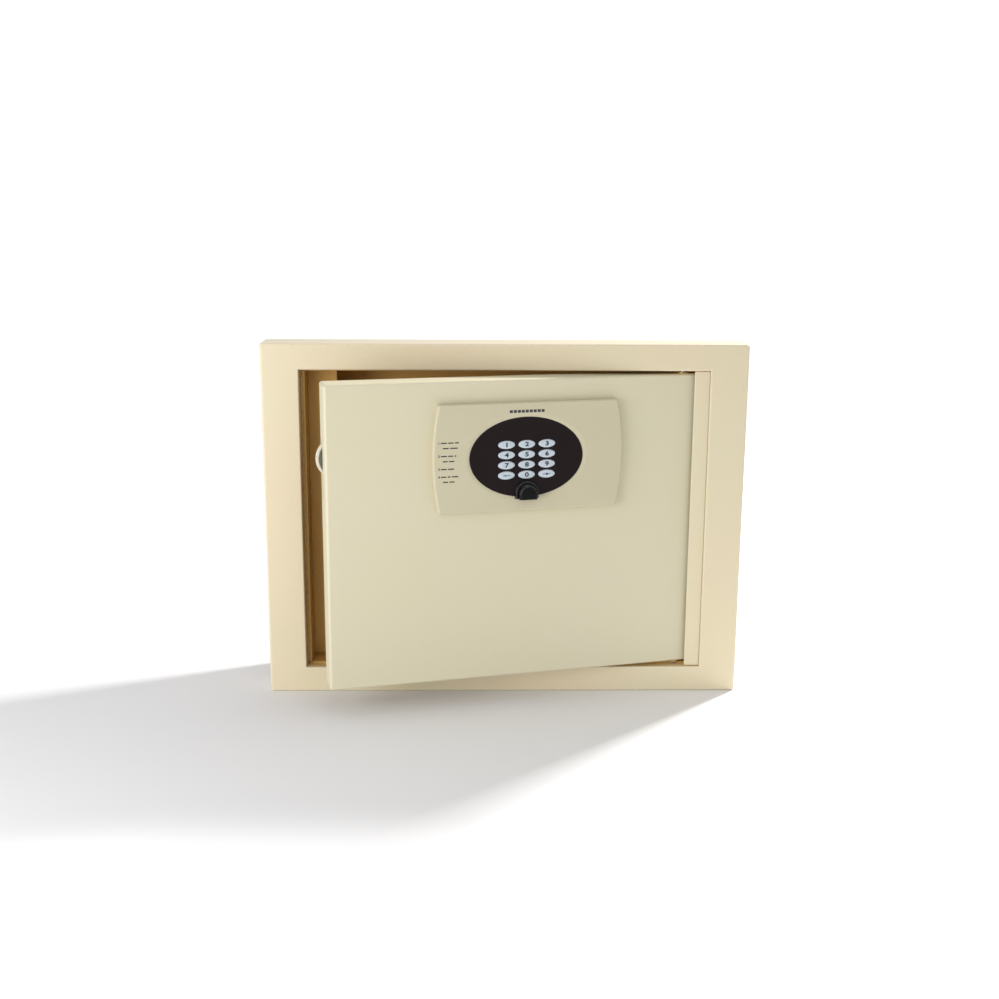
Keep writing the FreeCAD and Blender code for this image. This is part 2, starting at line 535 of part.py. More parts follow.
def keypad_panel():
    """Cover with straight top and bottom and bowed ends, pocketed behind for board and mat."""
    ends = "((panel_height / 2) ^ 2 + panel_bow ^ 2) / (2 * panel_bow)"
    tall = (f"{PANEL_Z} - panel_height / 2", f"{PANEL_Z} + panel_height / 2")
    slab = box("panel_slab", (f"{PANEL_X} - panel_width / 2", f"{PANEL_X} + panel_width / 2"),
               (proud("panel_proud"), FACE), tall)
    left = rod("panel_left_end", "y", (f"{PANEL_X} - panel_width / 2 + {ends}", PANEL_Z),
               (proud("panel_proud"), FACE), ends)
    right = rod("panel_right_end", "y", (f"{PANEL_X} + panel_width / 2 - {ends}", PANEL_Z),
                (proud("panel_proud"), FACE), ends)
    blank = ease("panel_blank", common("panel_outline", slab, left, right), "panel_round",
                 pick=corner_edges)
    pocket = box("panel_pocket", (f"{BEZEL_X} - pocket_width / 2", f"{BEZEL_X} + pocket_width / 2"),
                 (proud("board_sheet + mat_sheet + 0.3"), f"{FACE} + 1"),
                 (f"{PANEL_Z} - pocket_height / 2", f"{PANEL_Z} + pocket_height / 2"))
    window = oval("panel_window", (BEZEL_X, PANEL_Z), (proud("panel_proud"), FACE),
                  "bezel_half_width - bezel_ledge", "bezel_half_height - bezel_ledge")
    seat = oval("bezel_seat", (BEZEL_X, PANEL_Z), (proud("panel_proud + 1"), proud("ledge_proud")),
                "bezel_half_width + bezel_play", "bezel_half_height + bezel_play")
    taps = [rod(f"panel_tap_{n}", "y", place, (proud("5"), FACE), "screw_radius")
            for n, place in enumerate(panel_screw_places())]
    shell = cut("panel_shell", blank, pocket, window, seat, *taps)
    doc.recompute()
    dish = doc.addObject("Part::Chamfer", "panel_dish")
    dish.Base = shell
    dish.Edges = [(n, size("dish_width"), size("dish_depth")) for n in window_rim(shell.Shape)]
    node("keypad_panel", dish, swings=True)
    screws = []
    for n, place in enumerate(panel_screw_places()):
        screws.append(fuse(f"panel_screw_{n}",
                           rod(f"panel_shank_{n}", "y", place, (proud("4.5"), SKIN_IN), "screw_radius"),
                           rod(f"panel_head_{n}", "y", place, (SKIN_IN, f"{SKIN_IN} + screw_head"),
                               "screw_head_radius")))
    node("panel_screws", *screws, swings=True)


def window_rim(shape):
    """The closed edge round the bezel's seat in the foremost plane."""
    return [n for n in front_edges(shape) if shape.Edges[n - 1].isClosed()]


KEYS_Z = f"({PANEL_Z} - keys_drop)"
KEY_NAMES = [["key_1", "key_2", "key_3"], ["key_4", "key_5", "key_6"],
             ["key_7", "key_8", "key_9"], ["key_clear", "key_0", "key_enter"]]
KEY_PLACES = {name: (f"({BEZEL_X} + {column - 1} * key_pitch_x)",
                     f"({KEYS_Z} + {1.5 - row} * key_pitch_z)")
              for row, names in enumerate(KEY_NAMES) for column, name in enumerate(names)}
BEZEL_FRONT = proud("panel_proud - bezel_set_in")


def keypad_bezel():
    """Elliptical face plate on the panel's ledge with a hole for every key."""
    plate = oval("bezel_plate", (BEZEL_X, PANEL_Z), (BEZEL_FRONT, proud("ledge_proud")),
                 "bezel_half_width", "bezel_half_height")
    holes = [oval(f"hole_for_{name}", place, (f"{BEZEL_FRONT} - 1", proud("ledge_proud - 1")),
                  "key_width / 2 + key_play", "key_height / 2 + key_play")
             for name, place in KEY_PLACES.items()]
    node("keypad_bezel", cut("pierced_bezel", plate, *holes), swings=True)


def keys():
    """Twelve domed keys, each with a lip behind the bezel that keeps it in."""
    lip_front = proud("ledge_proud - 0.3")
    for name, place in KEY_PLACES.items():
        cap = oval(f"{name}_cap", place, (f"{BEZEL_FRONT} - key_proud", lip_front),
                   "key_width / 2", "key_height / 2")
        domed = ease(f"{name}_dome", cap, "key_round")
        lip = oval(f"{name}_lip", place, (lip_front, f"{lip_front} + key_lip_sheet"),
                   "key_width / 2 + key_lip", "key_height / 2 + key_lip * 0.6")
        node(name, fuse(f"{name}_solid", domed, lip), swings=True)


def keypad_inside():
    """Circuit board against the door's face with the rubber key mat on top of it."""
    wide = (f"{BEZEL_X} - pocket_width / 2 + 1", f"{BEZEL_X} + pocket_width / 2 - 1")
    tall = (f"{PANEL_Z} - pocket_height / 2 + 1", f"{PANEL_Z} + pocket_height / 2 - 1")
    node("keypad_board", box("board_laminate", wide, (proud("board_sheet"), FACE), tall), swings=True)
    sheet = box("mat_sheet_rubber", (f"{BEZEL_X} - 1.7 * key_pitch_x", f"{BEZEL_X} + 1.7 * key_pitch_x"),
                (proud("board_sheet + mat_sheet"), proud("board_sheet")),
                (f"{KEYS_Z} - 2.2 * key_pitch_z", f"{KEYS_Z} + 2.2 * key_pitch_z"))
    node("key_mat", sheet, swings=True)


def pull_outline(name, half, low, high, front, back):
    """A slab with a flat foot and a half-round top."""
    waist = f"({high} - {half})"
    wide = (f"{BEZEL_X} - {half}", f"{BEZEL_X} + {half}")
    foot = box(f"{name}_foot", wide, (front, back), (low, waist))
    arch = rod(f"{name}_arch", "y", (BEZEL_X, waist), (front, back), half)
    whole = box(f"{name}_reach", wide, (front, back), (low, high))
    return common(f"{name}_form", fuse(f"{name}_foot_and_arch", foot, arch), whole)


def finger_pull():
    """Hooded pull at the bezel's foot: a stepped arch, open underneath for a fingertip."""
    low = f"({PANEL_Z} - bezel_half_height + pull_from_bottom)"
    high = f"({low} + pull_height)"
    base = pull_outline("pull_base", "(pull_width / 2)", low, high,
                        f"{BEZEL_FRONT} - pull_base", BEZEL_FRONT)
    hood = pull_outline("pull_hood", "(pull_width / 2 - pull_step)", low, f"({high} - pull_step)",
                        f"{BEZEL_FRONT} - pull_reach", f"{BEZEL_FRONT} - pull_base")
    hollow = pull_outline("pull_hollow", "(pull_width / 2 - pull_step - pull_wall)", f"({low} - 1)",
                          f"({high} - pull_step - pull_wall)",
                          f"{BEZEL_FRONT} - pull_reach + pull_wall", f"{BEZEL_FRONT} - pull_wall / 2")
    node("finger_pull", cut("pull_shell", fuse("pull_solid", base, hood), hollow), swings=True)


# ---- lock --------------------------------------------------------------------------------------------------

BASE_X = (f"({DOOR_L} + base_from_edge)", f"({DOOR_L} + base_from_edge + base_width)")
BASE_Z = (f"({SHAFT_Z} - bolt_radius - base_under_bolt)", f"({BOLT_Z} + bolt_radius + base_over_bolt)")
BASE_POSTS = [(x, z) for x in (f"({BASE_X[0]} + base_margin)", f"({BASE_X[1]} - base_margin)")
              for z in (f"({BASE_Z[0]} + base_margin)", f"({BASE_Z[1]} - base_margin)")]
RIVET_PLACES = [(f"({BOLT_X} + rivet_ring * cos({a}))", f"({SHAFT_Z} + rivet_ring * sin({a}))")
                for a in (90, 210, 330)]
MOTOR_EARS = [(PINION_X, f"({SHAFT_Z} + {k} * (motor_radius + 3))") for k in (-1, 1)]


def lock_base():
    """Plate on four posts that carries the bolt's shaft, the motor and the switch."""
    plate = box("base_blank", BASE_X, BASE_Y, BASE_Z)
    span = (f"{BASE_Y[0]} - 1", f"{BASE_Y[1]} + 1")
    holes = [rod(f"base_hole_{n}", "y", place, span, "screw_radius") for n, place in enumerate(BASE_POSTS)]
    holes += [rod(f"ear_hole_{n}", "y", place, span, "rivet_radius") for n, place in enumerate(MOTOR_EARS)]
    holes.append(rod("shaft_hole", "y", (BOLT_X, SHAFT_Z), span, "shaft_radius"))
    holes.append(rod("pinion_hole", "y", (PINION_X, SHAFT_Z), span, "motor_shaft_radius + 2"))
    node("lock_base_plate", cut("base_drilled", plate, *holes), swings=True)
    fixings = []
    for n, place in enumerate(BASE_POSTS):
        post = rod(f"base_post_{n}", "y", place, (SKIN_IN, BASE_Y[0]), "standoff_radius - 0.5")
        shank = rod(f"base_shank_{n}", "y", place, BASE_Y, "screw_radius")
        head = rod(f"base_head_{n}", "y", place, (BASE_Y[1], f"{BASE_Y[1]} + screw_head"),
                   "screw_head_radius - 0.5")
        fixings.append(fuse(f"base_fixing_{n}", post, shank, head))
    node("base_fixings", *fixings, swings=True)


def swing_bolt():
    """Round-headed bolt plate on a fixed shaft, with its gear riveted behind it."""
    head = ease("bolt_head", rod("bolt_disc", "y", (BOLT_X, BOLT_Z), (BOLT_Y, BOLT_BACK), "bolt_radius"),
                "bolt_bevel", "Part::Chamfer", disc_rims)
    hub = rod("bolt_hub_disc", "y", (BOLT_X, SHAFT_Z), (BOLT_Y, BOLT_BACK), "bolt_hub")
    bore = rod("bolt_bore", "y", (BOLT_X, SHAFT_Z), (f"{BOLT_Y} - 1", f"{BOLT_BACK} + 1"),
               "shaft_radius + running_play")
    holes = [rod(f"bolt_rivet_hole_{n}", "y", place, (f"{BOLT_Y} - 1", f"{BOLT_BACK} + 1"),
                 "rivet_radius") for n, place in enumerate(RIVET_PLACES)]
    node("swing_bolt", cut("bolt_plate", fuse("bolt_form", head, hub), bore, *holes), swings=True)
    pins = [rod(f"gear_rivet_{n}", "y", place, (BOLT_Y, f"{BOLT_BACK} + gear_sheet"), "rivet_radius")
            for n, place in enumerate(RIVET_PLACES)]
    node("bolt_rivets", *pins, swings=True)


def disc_rims(shape):
    """Every full circle of a disc, which is every edge but its seam."""
    return [n for n, edge in enumerate(shape.Edges, 1) if edge.BoundBox.YLength < 0.01]


def bolt_shaft():
    """Fixed shaft with a head in front of the base plate, a thin washer and a retaining ring."""
    ring = f"{BOLT_BACK} + gear_sheet + 0.1"
    stem = rod("shaft_stem", "y", (BOLT_X, SHAFT_Z), (BASE_Y[0], f"{ring} + 0.5"), "shaft_radius")
    head = rod("shaft_head", "y", (BOLT_X, SHAFT_Z), (f"{BASE_Y[0]} - 1.5", BASE_Y[0]),
               "shaft_radius + 2")
    node("bolt_shaft", fuse("shaft_solid", stem, head), swings=True)
    washer = rod("washer_disc", "y", (BOLT_X, SHAFT_Z), (BASE_Y[1], f"{BOLT_Y} - 0.1"), "shaft_radius + 3")
    clip = rod("clip_disc", "y", (BOLT_X, SHAFT_Z), (ring, f"{ring} + 0.5"), "shaft_radius + 2")
    hole = rod("washer_hole", "y", (BOLT_X, SHAFT_Z), (BASE_Y[0], f"{ring} + 2"), "shaft_radius")
    node("bolt_washer", cut("washer_ring", washer, hole), swings=True)
    clip_hole = rod("clip_hole", "y", (BOLT_X, SHAFT_Z), (BASE_Y[0], f"{ring} + 2"), "shaft_radius")
    node("bolt_clip", cut("clip_ring", clip, clip_hole), swings=True)


def gear_face(teeth, first_tooth):
    """Flat involute gear outline about the Y axis; first_tooth is a tooth's angle in radians."""
    module, backlash = size("gear_module"), size("gear_backlash")
    pitch = module * teeth / 2
    base = pitch * math.cos(math.radians(20))
    root, tip = pitch - 1.25 * module, pitch + module
    tooth_half = math.pi / (2 * teeth) - backlash / (2 * pitch)

    def involute(radius):
        turn = math.acos(base / radius)
        return math.tan(turn) - turn

    def spot(radius, angle):
        return FreeCAD.Vector(radius * math.cos(angle), 0, radius * math.sin(angle))

    def flank(middle, side, radius):
        return spot(radius, middle + side * (tooth_half + involute(pitch) - involute(radius)))

    low = max(base * 1.0001, root)
    edges = []
    for n in range(int(teeth)):
        middle = first_tooth + 2 * math.pi * n / teeth
        onward = middle + 2 * math.pi / teeth
        rising = [flank(middle, -1, r) for r in (low, pitch, tip)]
        falling = [flank(middle, 1, r) for r in (tip, pitch, low)]
        foot_angle = tooth_half + involute(pitch) - involute(low)
        start, end = spot(root, middle - foot_angle), spot(root, middle + foot_angle)
        edges.append(Part.LineSegment(start, rising[0]).toShape())
        edges.append(Part.Arc(*rising).toShape())
        edges.append(Part.Arc(rising[2], spot(tip, middle), falling[0]).toShape())
        edges.append(Part.Arc(*falling).toShape())
        edges.append(Part.LineSegment(falling[2], end).toShape())
        edges.append(Part.Arc(end, spot(root, (middle + onward) / 2),
                              spot(root, onward - foot_angle)).toShape())
    return Part.Face(Part.Wire(edges))


def gears():
    """Gear riveted to the bolt, and the motor's pinion in mesh with it on the hinge side."""
    rim = doc.addObject("Part::Feature", "gear_blank")
    rim.Shape = gear_face(size("gear_teeth"), 0).extrude(FreeCAD.Vector(0, size("gear_sheet"), 0))
    move(rim, BOLT_X, BOLT_BACK, SHAFT_Z)
    span = (f"{BOLT_BACK} - 1", f"{BOLT_BACK} + gear_sheet + 1")
    bore = rod("gear_bore", "y", (BOLT_X, SHAFT_Z), span, "shaft_radius + running_play")
    holes = [rod(f"gear_rivet_hole_{n}", "y", place, span, "rivet_radius")
             for n, place in enumerate(RIVET_PLACES)]
    node("bolt_gear", cut("gear_bored", rim, bore, *holes), swings=True)
    pinion = doc.addObject("Part::Feature", "pinion_blank")
    teeth = size("pinion_teeth")
    facing = math.pi + (math.pi / teeth)
    pinion.Shape = gear_face(teeth, facing).extrude(FreeCAD.Vector(0, size("pinion_sheet"), 0))
    back = f"({BOLT_BACK} + gear_sheet + 0.1)"
    move(pinion, PINION_X, f"{back} - pinion_sheet", SHAFT_Z)
    spindle = rod("pinion_spindle", "y", (PINION_X, SHAFT_Z), (f"{BASE_Y[0]} - 1.8", back),
                  "motor_shaft_radius")
    node("motor_pinion", fuse("pinion_solid", pinion, spindle), swings=True)


def lock_motor():
    """Flat gear motor on the front of the base plate, held by two small screws."""
    can = rod("motor_can", "y", (PINION_X, SHAFT_Z), (f"{BASE_Y[0]} - motor_length", BASE_Y[0]),
              "motor_radius")
    ears = box("motor_ears", (f"{PINION_X} - 3.5", f"{PINION_X} + 3.5"), (f"{BASE_Y[0]} - 1.5", BASE_Y[0]),
               (f"{SHAFT_Z} - motor_radius - 6", f"{SHAFT_Z} + motor_radius + 6"))
    bearing = rod("motor_bearing", "y", (PINION_X, SHAFT_Z), (f"{BASE_Y[0]} - 2", f"{BASE_Y[0]} + 1"),
                  "motor_shaft_radius + running_play")
    holes = [rod(f"motor_ear_hole_{n}", "y", place, (f"{BASE_Y[0]} - 3", BASE_Y[1]), "rivet_radius")
             for n, place in enumerate(MOTOR_EARS)]
    node("lock_motor", cut("motor_body", fuse("motor_form", can, ears), bearing, *holes), swings=True)
    screws = [fuse(f"motor_screw_{n}",
                   rod(f"motor_shank_{n}", "y", place, (f"{BASE_Y[0]} - 1.5", BASE_Y[1]), "rivet_radius"),
                   rod(f"motor_head_{n}", "y", place, (f"{BASE_Y[0]} - 2.7", f"{BASE_Y[0]} - 1.5"),
                       "rivet_radius + 1")) for n, place in enumerate(MOTOR_EARS)]
    node("motor_screws", *screws, swings=True)


def bolt_switch():
    """Small switch beside the bolt's path that tells the board where the bolt stands."""
    left = f"({BOLT_X} + bolt_radius + 4)"
    case = box("switch_case", (left, f"{left} + 8"), (BASE_Y[1], f"{BASE_Y[1]} + 6.4"),
               (f"{BOLT_Z} - 10", f"{BOLT_Z} + 10"))
    lever = box("switch_lever", (f"{left} - 1", left), (f"{BASE_Y[1]} + 1.2", f"{BASE_Y[1]} + 5.2"),
                (f"{BOLT_Z} - 8", f"{BOLT_Z} + 6"))
    node("bolt_switch", fuse("switch_solid", case, lever), swings=True)


# ---- electronics and batteries ---------------------------------------------------------------------------

def control_board():
    """Laminate on four posts with its relay, processor and connector."""
    wide, tall = (CONTROL_X, f"{CONTROL_X} + control_width"), (f"{CONTROL_T} - control_height", CONTROL_T)
    back = f"({CONTROL_Y} + 1.6)"
    laminate = box("control_laminate", wide, (CONTROL_Y, back), tall)
    relay = box("relay", (f"{CONTROL_X} + 8", f"{CONTROL_X} + 23"), (back, f"{back} + 10"),
                (f"{CONTROL_T} - 30", f"{CONTROL_T} - 14"))
    chip = box("processor", (f"{CONTROL_X} + 32", f"{CONTROL_X} + 46"), (back, f"{back} + 1.6"),
               (f"{CONTROL_T} - 30", f"{CONTROL_T} - 16"))
    plug = box("ribbon_header", (f"{RIBBON_X[0]} - 2", f"{RIBBON_X[1]} + 2"), (back, f"{back} + 6"),
               (f"{CONTROL_T} - 9", f"{CONTROL_T} - 3"))
    node("control_board", fuse("populated_board", laminate, relay, chip, plug), swings=True)
    posts = [rod(f"board_post_{n}", "y", (f"{CONTROL_X} + control_width / 2 + {i} * (control_width / 2 - 4)",
                 f"{CONTROL_T} - control_height / 2 + {k} * (control_height / 2 - 4)"),
                 (SKIN_IN, CONTROL_Y), "standoff_radius - 1") for n, (i, k) in enumerate(CORNERS)]
    node("board_standoffs", *posts, swings=True)


def keypad_ribbon():
    """Flat cable from the keypad board, through the skin and down to the control board."""
    floor = (f"({SKIN_IN} + 2)", f"({SKIN_IN} + 2 + ribbon_sheet)")
    low = f"({CONTROL_T} - 8)"
    inlet = box("ribbon_inlet", RIBBON_X, (FACE, floor[1]), (RIBBON_Z, f"{RIBBON_Z} + ribbon_sheet"))
    run = box("ribbon_run", RIBBON_X, floor, (low, f"{RIBBON_Z} + ribbon_sheet"))
    tail = box("ribbon_tail", RIBBON_X, (floor[0], CONTROL_Y), (low, f"{low} + ribbon_sheet"))
    node("keypad_ribbon", fuse("ribbon_solid", inlet, run, tail), swings=True)


def battery_bay():
    """Open tray for the cells, its spring contacts, and the lid that slides in two rails."""
    tray = box("holder_block", HOLDER_X, HOLDER_Y, HOLDER_Z)
    well = box("holder_well", (f"{HOLDER_X[0]} + holder_wall", f"{HOLDER_X[1]} - holder_wall"),
               (f"{HOLDER_Y[0]} + holder_wall", f"{HOLDER_Y[1]} + 1"),
               (f"{HOLDER_Z[0]} + holder_wall", f"{HOLDER_Z[1]} - holder_wall"))
    node("battery_holder", cut("holder_tray", tray, well), swings=True)
    cells, contacts = [], []
    for n in range(int(size("cell_count"))):
        across = f"({HOLDER_Z[0]} + holder_wall + (2 * {n} + 1) * (cell_radius + 0.1))"
        middle = f"({HOLDER_Y[0]} + holder_wall + cell_radius)"
        start = f"({HOLDER_X[0]} + holder_wall + holder_end)"
        cells.append(rod(f"cell_{n}", "x", (middle, across), (start, f"{start} + cell_length"),
                         "cell_radius"))
        for side, low in (("left", f"{HOLDER_X[0]} + holder_wall"), ("right", f"{start} + cell_length")):
            contacts.append(rod(f"contact_{side}_{n}", "x", (middle, across),
                                (low, f"{low} + holder_end"), "cell_radius / 2"))
    node("batteries", *cells, swings=True)
    node("battery_contacts", *contacts, swings=True)
    lid_x = (f"({HOLDER_X[0]} - lid_margin)", f"({HOLDER_X[1]} + lid_margin)")
    lid_z = (f"({HOLDER_Z[0]} - lid_margin)", f"({HOLDER_Z[1]} + lid_margin)")
    lid_y = (f"({DOOR_BACK} + lid_play)", f"({DOOR_BACK} + lid_play + lid_sheet)")
    lid = box("lid_plate", lid_x, lid_y, lid_z)
    ribs = [box(f"lid_rib_{n}", (f"{lid_x[0]} + 22", f"{lid_x[1]} - 22"), (lid_y[1], f"{lid_y[1]} + 0.8"),
                (f"{lid_z[1]} - 10 - {4 * n}", f"{lid_z[1]} - 8.5 - {4 * n}")) for n in range(4)]
    node("battery_cover", fuse("lid_solid", lid, *ribs), swings=True)
    rails = []
    for side, edge, sign in (("left", lid_x[0], "-"), ("right", lid_x[1], "+")):
        inner, outer = f"({edge} {sign} lid_play)", f"({edge} {sign} (lid_play + lid_rail))"
        over = f"({edge} {'+' if sign == '-' else '-'} lid_rail)"
        top = f"({lid_y[1]} + lid_play)"
        web = sorted_span(sign, inner, outer)
        hood = sorted_span(sign, over, outer)
        rails.append(fuse(f"lid_rail_{side}", box(f"rail_web_{side}", web, (DOOR_BACK, top), lid_z),
                          box(f"rail_hood_{side}", hood, (top, f"{top} + lid_sheet"), lid_z)))
    node("battery_cover_rails", *rails, swings=True)


def sorted_span(sign, inner, outer):
    """Order two X formulas from left to right on either side of the lid."""
    return (outer, inner) if sign == "-" else (inner, outer)


# ---- assemble ----------------------------------------------------------------------------------------------

front_frame()
rear_flange()
body_shell()
back_panel()
hinge_side_strip()
left_spacer()
strike_jamb()
strike_box()
hinge_blocks_and_pins()
door_skin()
door_back_cover()
pivot_blocks_and_bushes()
keypad_panel()
keypad_bezel()
keys()
keypad_inside()
finger_pull()
lock_base()
swing_bolt()
bolt_shaft()
gears()
lock_motor()
bolt_switch()
control_board()
keypad_ribbon()
battery_bay()
doc.recompute()


# ---- check and write ----------------------------------------------------------------------------------------

faults = [f"{thing.Name}: {thing.State}" for thing in doc.Objects
          if "Invalid" in thing.State or "Error" in thing.State]
for part in NODES:
    if part.Shape.isNull() or not part.Shape.isValid() or not part.Shape.Solids:
        faults.append(f"{part.Label}: shape is null, invalid or empty")
if faults:
    raise SystemExit("not written:\n" + "\n".join(faults))

os.makedirs("parts", exist_ok=True)
for part in NODES:
    part.Shape.exportStep(os.path.join("parts", part.Label + ".step"))
    print(f"{part.Label}: {len(part.Shape.Solids)} solids, {part.Shape.Volume:.1f} mm3")
print(len(NODES), "nodes written")
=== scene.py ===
import json
import math
import bmesh
import bpy
from mathutils import Matrix, Vector

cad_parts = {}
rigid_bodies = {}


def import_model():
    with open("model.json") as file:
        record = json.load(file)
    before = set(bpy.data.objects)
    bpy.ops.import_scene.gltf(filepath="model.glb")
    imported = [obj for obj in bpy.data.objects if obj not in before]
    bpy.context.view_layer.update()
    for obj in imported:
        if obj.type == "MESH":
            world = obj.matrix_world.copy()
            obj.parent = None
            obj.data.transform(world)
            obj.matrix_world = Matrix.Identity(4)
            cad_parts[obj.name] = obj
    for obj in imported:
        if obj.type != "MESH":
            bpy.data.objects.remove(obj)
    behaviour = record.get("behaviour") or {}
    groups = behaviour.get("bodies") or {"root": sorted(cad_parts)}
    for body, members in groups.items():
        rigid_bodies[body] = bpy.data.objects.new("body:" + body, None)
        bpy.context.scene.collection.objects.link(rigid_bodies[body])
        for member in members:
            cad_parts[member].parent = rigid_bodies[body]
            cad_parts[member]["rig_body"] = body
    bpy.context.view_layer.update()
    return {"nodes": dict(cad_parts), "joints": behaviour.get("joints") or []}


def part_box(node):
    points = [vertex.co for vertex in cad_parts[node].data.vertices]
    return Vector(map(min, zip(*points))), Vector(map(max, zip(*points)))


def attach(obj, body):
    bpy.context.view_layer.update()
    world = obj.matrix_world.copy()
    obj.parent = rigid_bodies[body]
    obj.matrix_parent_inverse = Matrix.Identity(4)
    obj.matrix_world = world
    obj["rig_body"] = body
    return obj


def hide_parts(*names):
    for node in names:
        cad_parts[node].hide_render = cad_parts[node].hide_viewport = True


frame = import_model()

MM = 0.001


# ---- where the safe is seen from ---------------------------------------------------------------
# A short telephoto view from just above the safe and a little to the left of its middle, looking
# down onto the front frame so that its top return shows as a thin strip.
lens = bpy.data.cameras.new("front_view")
lens.lens, lens.sensor_width = 47.64, 36.0
lens.clip_start, lens.clip_end = 0.05, 60.0
camera = bpy.data.objects.new("front_view", lens)
bpy.context.scene.collection.objects.link(camera)
looks_down, turned, leaning = (math.radians(angle) for angle in (13.06, -1.23, 0.34))
camera.location = (-0.03069, -1.30942, 0.30301)
camera.rotation_euler = (Matrix.Rotation(turned, 3, "Z")
                         @ Matrix.Rotation(math.pi / 2 - looks_down, 3, "X")
                         @ Matrix.Rotation(leaning, 3, "Z")).to_euler()
bpy.context.scene.camera = camera


# ---- floor and studio --------------------------------------------------------------------------
# Seamless white paper in a white room.  A small bright lamp close behind the safe on the right
# throws its shadow forward and to the left, and a soft panel lights the front from the left.
def node_adder(tree):
    """add('TexNoise', Scale=3) places a shader node; a value that is a socket is linked."""
    def add(kind, setup=(), **inputs):
        made = tree.nodes.new("ShaderNode" + kind)
        for field, value in dict(setup).items():
            setattr(made, field, value)
        for label, value in inputs.items():
            key = int(label[1:]) if label[0] == "_" else label.replace("_", " ")
            if isinstance(value, bpy.types.NodeSocket):
                tree.links.new(value, made.inputs[key])
            else:
                made.inputs[key].default_value = value
        return made
    return add


room_light, room_seen = 0.66, 1.02
room = bpy.data.worlds.new("white_room")
room.use_nodes = True
add = node_adder(room.node_tree)
seen = add("LightPath").outputs["Is Camera Ray"]
strength = add("MapRange", Value=seen, To_Min=room_light, To_Max=room_seen)
air = room.node_tree.nodes["Background"]
air.inputs["Color"].default_value = (0.985, 0.985, 1.0, 1.0)
room.node_tree.links.new(strength.outputs["Result"], air.inputs["Strength"])
bpy.context.scene.world = room
bpy.context.scene.view_settings.view_transform = "Standard"

floor_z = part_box("front_frame")[0].z
paper_half = 14.0
paper = bmesh.new()
bmesh.ops.create_grid(paper, x_segments=8, y_segments=8, size=paper_half,
                      matrix=Matrix.Translation((0, 0, floor_z)))
paper_mesh = bpy.data.meshes.new("studio_paper")
paper.to_mesh(paper_mesh)
paper.free()
studio_paper = bpy.data.objects.new("studio_paper", paper_mesh)
bpy.context.scene.collection.objects.link(studio_paper)
white_paper = bpy.data.materials.new("white_paper")
white_paper.use_nodes = True
add = node_adder(white_paper.node_tree)
sheet = white_paper.node_tree.nodes["Principled BSDF"]
sheet.inputs["Base Color"].default_value = (0.86, 0.86, 0.87, 1)
sheet.inputs["Roughness"].default_value = 0.9
sheet.inputs["Emission Color"].default_value = (1, 1, 1, 1)
# The paper brightens away from a place in front of the safe, as it does under wide studio light.
glow_ahead, glow_starts, glow_ends, glow_most = 0.45, 0.58, 1.00, 0.60
from_front = add("Mapping", Vector=add("TexCoord").outputs["Object"], Location=(0, glow_ahead, 0))
around = add("VectorMath", {"operation": "LENGTH"}, _0=from_front.outputs["Vector"])
far_glow = add("MapRange", {"interpolation_type": "SMOOTHSTEP"}, Value=around.outputs["Value"],
               From_Min=glow_starts, From_Max=glow_ends, To_Max=glow_most)
seen_glow = add("Math", {"operation": "MULTIPLY"}, _0=far_glow.outputs["Result"],
                _1=add("LightPath").outputs["Is Camera Ray"])
white_paper.node_tree.links.new(seen_glow.outputs[0], sheet.inputs["Emission Strength"])
paper_mesh.materials.append(white_paper)


def lamp(name, place, aim, size, power, colour):
    """Square soft light aimed at a point."""
    light = bpy.data.lights.new(name, "AREA")
    light.size, light.energy, light.color = size, power, colour
    holder = bpy.data.objects.new(name, light)
    bpy.context.scene.collection.objects.link(holder)
    holder.location = place
    holder.rotation_euler = (Vector(aim) - Vector(place)).to_track_quat("-Z", "Y").to_euler()


lamp("back_lamp", (0.665, 0.354, 0.68), (-0.1, -0.25, floor_z), 0.10, 13.0, (1.0, 0.98, 0.96))
lamp("left_panel", (-0.70, -0.76, 0.10), (-0.12, -0.1, -0.05), 0.60, 4.2, (1.0, 0.99, 0.985))


# ---- front frame -------------------------------------------------------------------------------
# Frame folded from 1.5 mm sheet steel round the opening: a broad face with an outer and an inner
# return, its corners welded, ground flush, and powder coated cream with a fine orange peel.
def effect(name, inputs, outputs):
    """New shader node group with named sockets; returns it with its adder, input and output."""
    group = bpy.data.node_groups.new(name, "ShaderNodeTree")
    for in_out, sockets in (("INPUT", inputs), ("OUTPUT", outputs)):
        for label, kind in sockets.items():
            group.interface.new_socket(label, in_out=in_out, socket_type="NodeSocket" + kind)
    given = group.nodes.new("NodeGroupInput").outputs
    result = group.nodes.new("NodeGroupOutput").inputs
    return group, node_adder(group), given, result


# Grain: two sizes of soft pimple, for orange peel in paint and the texture of moulded plastic.
grain, add, given, result = effect("surface_grain", {"Position": "Vector", "Size": "Float"},
                                   {"Height": "Float", "Speck": "Float"})
broad = add("TexNoise", Vector=given["Position"], Scale=given["Size"], Detail=2.0, Roughness=0.45)
fine_scale = add("Math", {"operation": "MULTIPLY"}, _0=given["Size"], _1=2.7)
fine = add("TexNoise", Vector=given["Position"], Scale=fine_scale.outputs[0], Detail=1.0)
part_fine = add("Math", {"operation": "MULTIPLY"}, _0=fine.outputs["Fac"], _1=0.35)
both = add("Math", {"operation": "ADD"}, _0=broad.outputs["Fac"], _1=part_fine.outputs[0])
crest = add("MapRange", Value=broad.outputs["Fac"], From_Min=0.42, From_Max=0.68)
grain.links.new(both.outputs[0], result["Height"])
grain.links.new(crest.outputs["Result"], result["Speck"])

